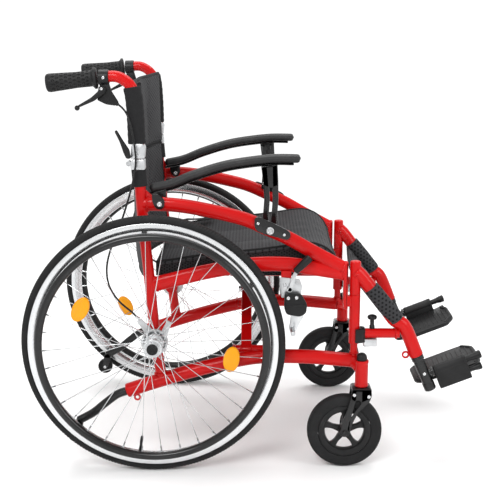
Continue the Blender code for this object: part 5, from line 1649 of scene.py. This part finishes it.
@dataclass
class Panel:
    """Closed fabric shell between a front and a back sheet that share their border.

    Args:
        front: (rows, columns, 3) places of the front sheet.
        back: the same for the back sheet.
    """

    front: Array
    back: Array

    def shell(self) -> Shell:
        """Returns: rings that run down the front, round the edge and back up behind."""
        return loft(np.concatenate([self.front, self.back[:, ::-1]], axis=1))

    def held(self, seams: Array) -> Array:
        """Args: seams: (rows, columns) true where sewn.  Returns: one flag a vertex."""
        return np.concatenate([seams, seams[:, ::-1]], axis=1).reshape(-1)


@dataclass
class Upholstery:
    """Slung seat and the two back panels, each inflated between its seams.

    Args:
        seat_line: (x, z) of the seat's edge from rear to front.
        half_width: half the seat's width.
    """

    seat_line: tuple[tuple[float, float], ...] = (
        (0.002, 0.4780), (0.050, 0.4850), (0.105, 0.4940), (0.190, 0.5030), (0.270, 0.5120),
        (0.350, 0.5230), (0.385, 0.5160), (0.410, 0.4970), (0.428, 0.4650))
    half_width: float = 0.2240

    def sew(self, panel: Panel, seams: Array, puff: Inflation, finish: Finish, body: str,
            node: str) -> None:
        """Makes, inflates and rigs one panel.

        Args: its sheets and seams; inflation; finish; body; CAD node.
        """
        obj = panel.shell().to_object("look_" + node, finish.build(), CLOTH_CREASE)
        puff.settle(obj, panel.held(seams))
        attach(obj, body)
        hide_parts(node)
        self.gather(obj)

    def gather(self, obj: bpy.types.Object) -> None:
        """Gives a piece of cloth its own copy of its mesh, after looking up how far it reaches to
        the side.

        The seat and its sides end on the seat tubes, the backs inside the posts and the lap belt
        reaches from frame to frame; nothing is narrowed.

        Args: obj: the cloth.
        """
        ends = {"look_seat_sides": 0.2178, "look_seat": 0.2137, "look_back": 0.2300}
        half = next((y for stem, y in ends.items() if obj.name.startswith(stem)), -FRAME_Y)
        -half
        1 - 0.5 * FOLD_TRAVEL / half
        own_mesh(obj)

    def trim(self, name: str, tracks: Sequence[Array], radius: float, body: str,
             across: Sequence[float]) -> None:
        """Makes a piped or taped edge.

        Args: object name; the lines it follows; half width; body; across: its first direction.
        """
        shells = [sweep(track, radius, sides=10, across=across, round_end=0.0008)
                  for track in tracks]
        self.gather(rig(name, Shell.join(shells), TAPE, body))

    def seat(self) -> None:
        """Makes the seat: a sling that dips between its rails, with three sewn channels."""
        rows, cols = 58, 61
        top = spline([(x, 0, z) for x, z in self.seat_line], rows)
        way = tangents(top)
        down = np.stack([way[:, 2], 0 * way[:, 2], -way[:, 0]], 1)
        v = np.linspace(-1, 1, cols)
        fore = np.linspace(0, 1, rows)[:, None]
        dip = 0.011 * (1 - np.abs(v) ** 2.4) * (0.35 + 0.65 * np.sin(fore * math.pi))
        ruck = 0.0012 * np.sin(v * 17 + 3 * fore) * np.sin(fore * 23)
        place = top[:, None] + self.half_width * UP_Y * v[None, :, None]
        edge = np.clip((1 - np.abs(v)) / 0.04, 0, 1) ** 0.5
        drop = (dip + ruck * (1 - np.abs(v)))[..., None] * down[:, None]
        front = place + drop + (1 - edge)[None, :, None] * 0.005 * down[:, None]
        back = place + drop + (0.0125 - (1 - edge) * 0.006)[None, :, None] * down[:, None]
        seams = np.zeros((rows, cols), bool)
        seams[:, [0, 1, 2, 20, 40, -3, -2, -1]] = True
        seams[[0, 1, 38, -2, -1]] = True
        self.sew(Panel(front, back), seams, Inflation(cap=0.0060), MESH_SEAT, "seat", "seat")
        self.trim("look_seat_binding", [front[:, 1], front[:, -2]], 0.0030, "seat", (0, 1, 0))
        self.trim("look_seat_hem", [front[1], front[-2]], 0.0030, "seat", (1, 0, 0.4))

    def skirts(self) -> None:
        """Makes the seat cloth's two turned-down sides, which wrap over the seat tubes.

        Each hangs from the seat's edge line to a hem that rises a little at the front, with a
        ripple of 1 mm sin(60 x) that grows towards the hem.
        """
        rows, cols = 60, 14
        top = spline([(x, 0, z) for x, z in self.seat_line[:-2]], rows)
        t = np.linspace(0, 1, cols)[None]
        shells = []
        for sign in (-1.0, 1.0):
            x = top[:, :1]
            hem = 0.4460 + 0.02 * np.clip((x - 0.30) / 0.10, 0, 1) ** 2
            z = (top[:, 2:] - 0.0045) * (1 - t) + hem * t
            y = sign * (0.2195 + 0.0012 * t + 0.0010 * np.sin(x * 60.0) * t)
            outer = np.stack(np.broadcast_arrays(x, y, z), -1)
            shells.append(Panel(outer, outer - sign * 0.0016 * UP_Y).shell())
        self.gather(rig("look_seat_sides", Shell.join(shells), MESH_SIDE, "seat",
                        sharp=CLOTH_CREASE))

    def back(self, name: str, low: tuple[float, float], high: tuple[float, float], width: float,
             sags: tuple[float, float], thick: float, body: str) -> None:
        """Makes a back panel, dished backward between the posts.

        The front sheet is x = edge line - sag (1 - v^2), v from -1 to 1 across the chair.

        Args: node name; (x, z) of its lower and upper edge; half width; sags; thickness; body.
        """
        rows, cols = 46, 57
        t = np.linspace(0, 1, rows)[:, None]
        v = np.linspace(-1, 1, cols)[None]
        edge = low[0] + (high[0] - low[0]) * t
        slack = 0.0022 * np.sin(v * 9 + t * 5) * np.sin(t * 11) * (1 - v ** 2)
        sag = sags[0] + (sags[1] - sags[0]) * t
        x = edge - sag * (1 - v ** 2) * (0.92 + 0.10 * np.sin(t * math.pi)) + slack
        z = low[1] + (high[1] - low[1]) * t - 0.004 * (1 - v ** 2) * (t > 0.5) * t
        y = np.broadcast_to(width * v, x.shape)
        taper = (np.clip((1 - np.abs(v)) / 0.03, 0.15, 1) * np.clip(t / 0.04, 0.35, 1)
                 * np.clip((1 - t) / 0.04, 0.35, 1)) ** 0.5
        front = np.stack([x - (1 - taper) * thick * 0.45, y, z], -1)
        behind = np.stack([x - thick + (1 - taper) * thick * 0.45, y, z], -1)
        seams = np.zeros((rows, cols), bool)
        seams[[0, 1, -2, -1]] = True
        seams[:, [0, 1, 14, 28, 42, -2, -1]] = True
        self.sew(Panel(front, behind), seams, Inflation(cap=0.0050), MESH_BACK, body, name)
        middle = (front + behind) / 2
        self.trim(f"look_{name}_piping", [middle[0], middle[-1]], 0.0044, body, (0, 0, 1))
        self.trim(f"look_{name}_edging", [middle[:, 0], middle[:, -1]], 0.0040, body, (1, 0, 0))

    def belt(self) -> None:
        """Makes the short lap-belt end that lies bunched at the rear of the seat."""
        track = spline([(0.020, 0.150, 0.502), (0.050, 0.120, 0.512), (0.085, 0.140, 0.509),
                        (0.110, 0.165, 0.508), (0.085, 0.185, 0.511)], 40)
        a = turns(16)
        side = np.cross(tangents(track), (0, 0, 1.0))
        side /= np.linalg.norm(side, axis=1, keepdims=True)
        rings = (track[:, None] + (0.0125 * np.cos(a))[None, :, None] * side[:, None]
                 + (0.0013 * np.sin(a))[None, :, None] * np.array([0, 0, 1.0]))
        self.gather(rig("look_lap_belt", loft(rings), TAPE, "seat"))

    def build(self) -> None:
        """Makes the seat, both back panels and the belt."""
        self.seat()
        self.skirts()
        self.belt()
        self.back("back_lower", (-0.0040, 0.434), (-0.0190, 0.703), 0.2300, (0.050, 0.038),
                  0.0090, "frame_right")
        self.back("back_upper", (-0.0170, 0.7085), (-0.0200, 0.8830), 0.2280, (0.036, 0.034),
                  0.0110, "handle_right")


# ------------------------------------------------------------------ studio
@dataclass(frozen=True)
class Softbox:
    """Area light aimed at a point.

    Args: where it is, what it looks at, its width, height and power in watts.
    """

    name: str
    place: tuple[float, float, float]
    aim: tuple[float, float, float]
    width: float
    height: float
    power: float

    def build(self) -> None:
        """Makes the light."""
        data = bpy.data.lights.new(self.name, "AREA")
        data.shape = "RECTANGLE"
        data.size, data.size_y, data.energy = self.width, self.height, self.power
        lamp = bpy.data.objects.new(self.name, data)
        way = np.asarray(self.aim) - np.asarray(self.place)
        flat = math.hypot(way[0], way[1])
        lamp.location = self.place
        lamp.rotation_euler = (math.atan2(flat, -way[2]), 0.0, math.atan2(-way[0], way[1]))
        bpy.context.scene.collection.objects.link(lamp)


@dataclass(frozen=True)
class Room:
    """Floor, sky, lights and camera."""

    eye: tuple[float, float, float] = (-0.0033, -2.5570, 1.0282)
    pitch: float = -12.598
    yaw: float = 0.2326
    lens: float = 75.10

    def camera(self) -> None:
        """Makes the camera at eye level beside the chair, aimed slightly down."""
        data = bpy.data.cameras.new("camera")
        data.sensor_width = 36.0
        data.lens = self.lens
        obj = bpy.data.objects.new("camera", data)
        obj.location = self.eye
        obj.rotation_euler = (math.radians(90 + self.pitch), 0.0, math.radians(self.yaw))
        bpy.context.scene.collection.objects.link(obj)
        bpy.context.scene.camera = obj

    def floor(self) -> None:
        """Makes the floor: a flat disc whose far edge is lost in the bright backdrop."""
        r, a = np.array([0.0005, 0.8, 1.6, 2.4])[:, None], turns(96)[None]
        rings = np.broadcast_arrays(r * np.cos(a), r * np.sin(a), -0.0006)
        shell = loft(np.stack(rings, -1))
        shell.caps = shell.caps[:1]
        shell.to_object("floor", FLOOR.build())

    def sky(self) -> None:
        """Makes the surroundings: a bright backdrop all round, dimmer overhead.

        Strength falls from 1.1 to 0.6 by a smoothstep of z, the direction's upward part.
        """
        world = bpy.data.worlds.new("studio")
        world.use_nodes = True
        tree = world.node_tree
        back = tree.nodes["Background"]
        back.inputs[0].default_value = (1.0, 1.0, 1.0, 1.0)
        place = tree.nodes.new("ShaderNodeTexCoord")
        split = tree.nodes.new("ShaderNodeSeparateXYZ")
        ramp = tree.nodes.new("ShaderNodeMapRange")
        ramp.interpolation_type = "SMOOTHSTEP"
        for socket, value in zip(ramp.inputs[1:5], (0.08, 0.50, 1.1, 0.60)):
            socket.default_value = value
        tree.links.new(place.outputs["Generated"], split.inputs[0])
        tree.links.new(split.outputs[2], ramp.inputs[0])
        tree.links.new(ramp.outputs[0], back.inputs[1])
        bpy.context.scene.world = world

    def build(self) -> None:
        """Makes the whole studio."""
        self.camera()
        self.floor()
        self.sky()
        for lamp in (Softbox("key", (-1.0, -2.6, 2.6), (0, 0, 0.45), 1.6, 1.2, 62.0),
                     Softbox("fill", (2.4, -1.6, 1.8), (0, 0, 0.4), 1.4, 1.4, 30.0),
                     Softbox("top", (0.0, 0.9, 3.2), (0, 0.4, 0.0), 3.2, 2.6, 95.0)):
            lamp.build()
        view = bpy.context.scene.view_settings
        view.view_transform = "Standard"
        view.look = "None"
        view.exposure = 0.0


def main() -> None:
    """Builds the chair round its frame, in order."""
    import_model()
    Room().build()
    for side in Side:
        for kind in (SideFrame, RearWheel, Caster, Footrest, Armrest, PushHandle, AntiTipper):
            kind(side).build()
    Brace().build()
    Upholstery().build()


if __name__ == "__main__":
    main()
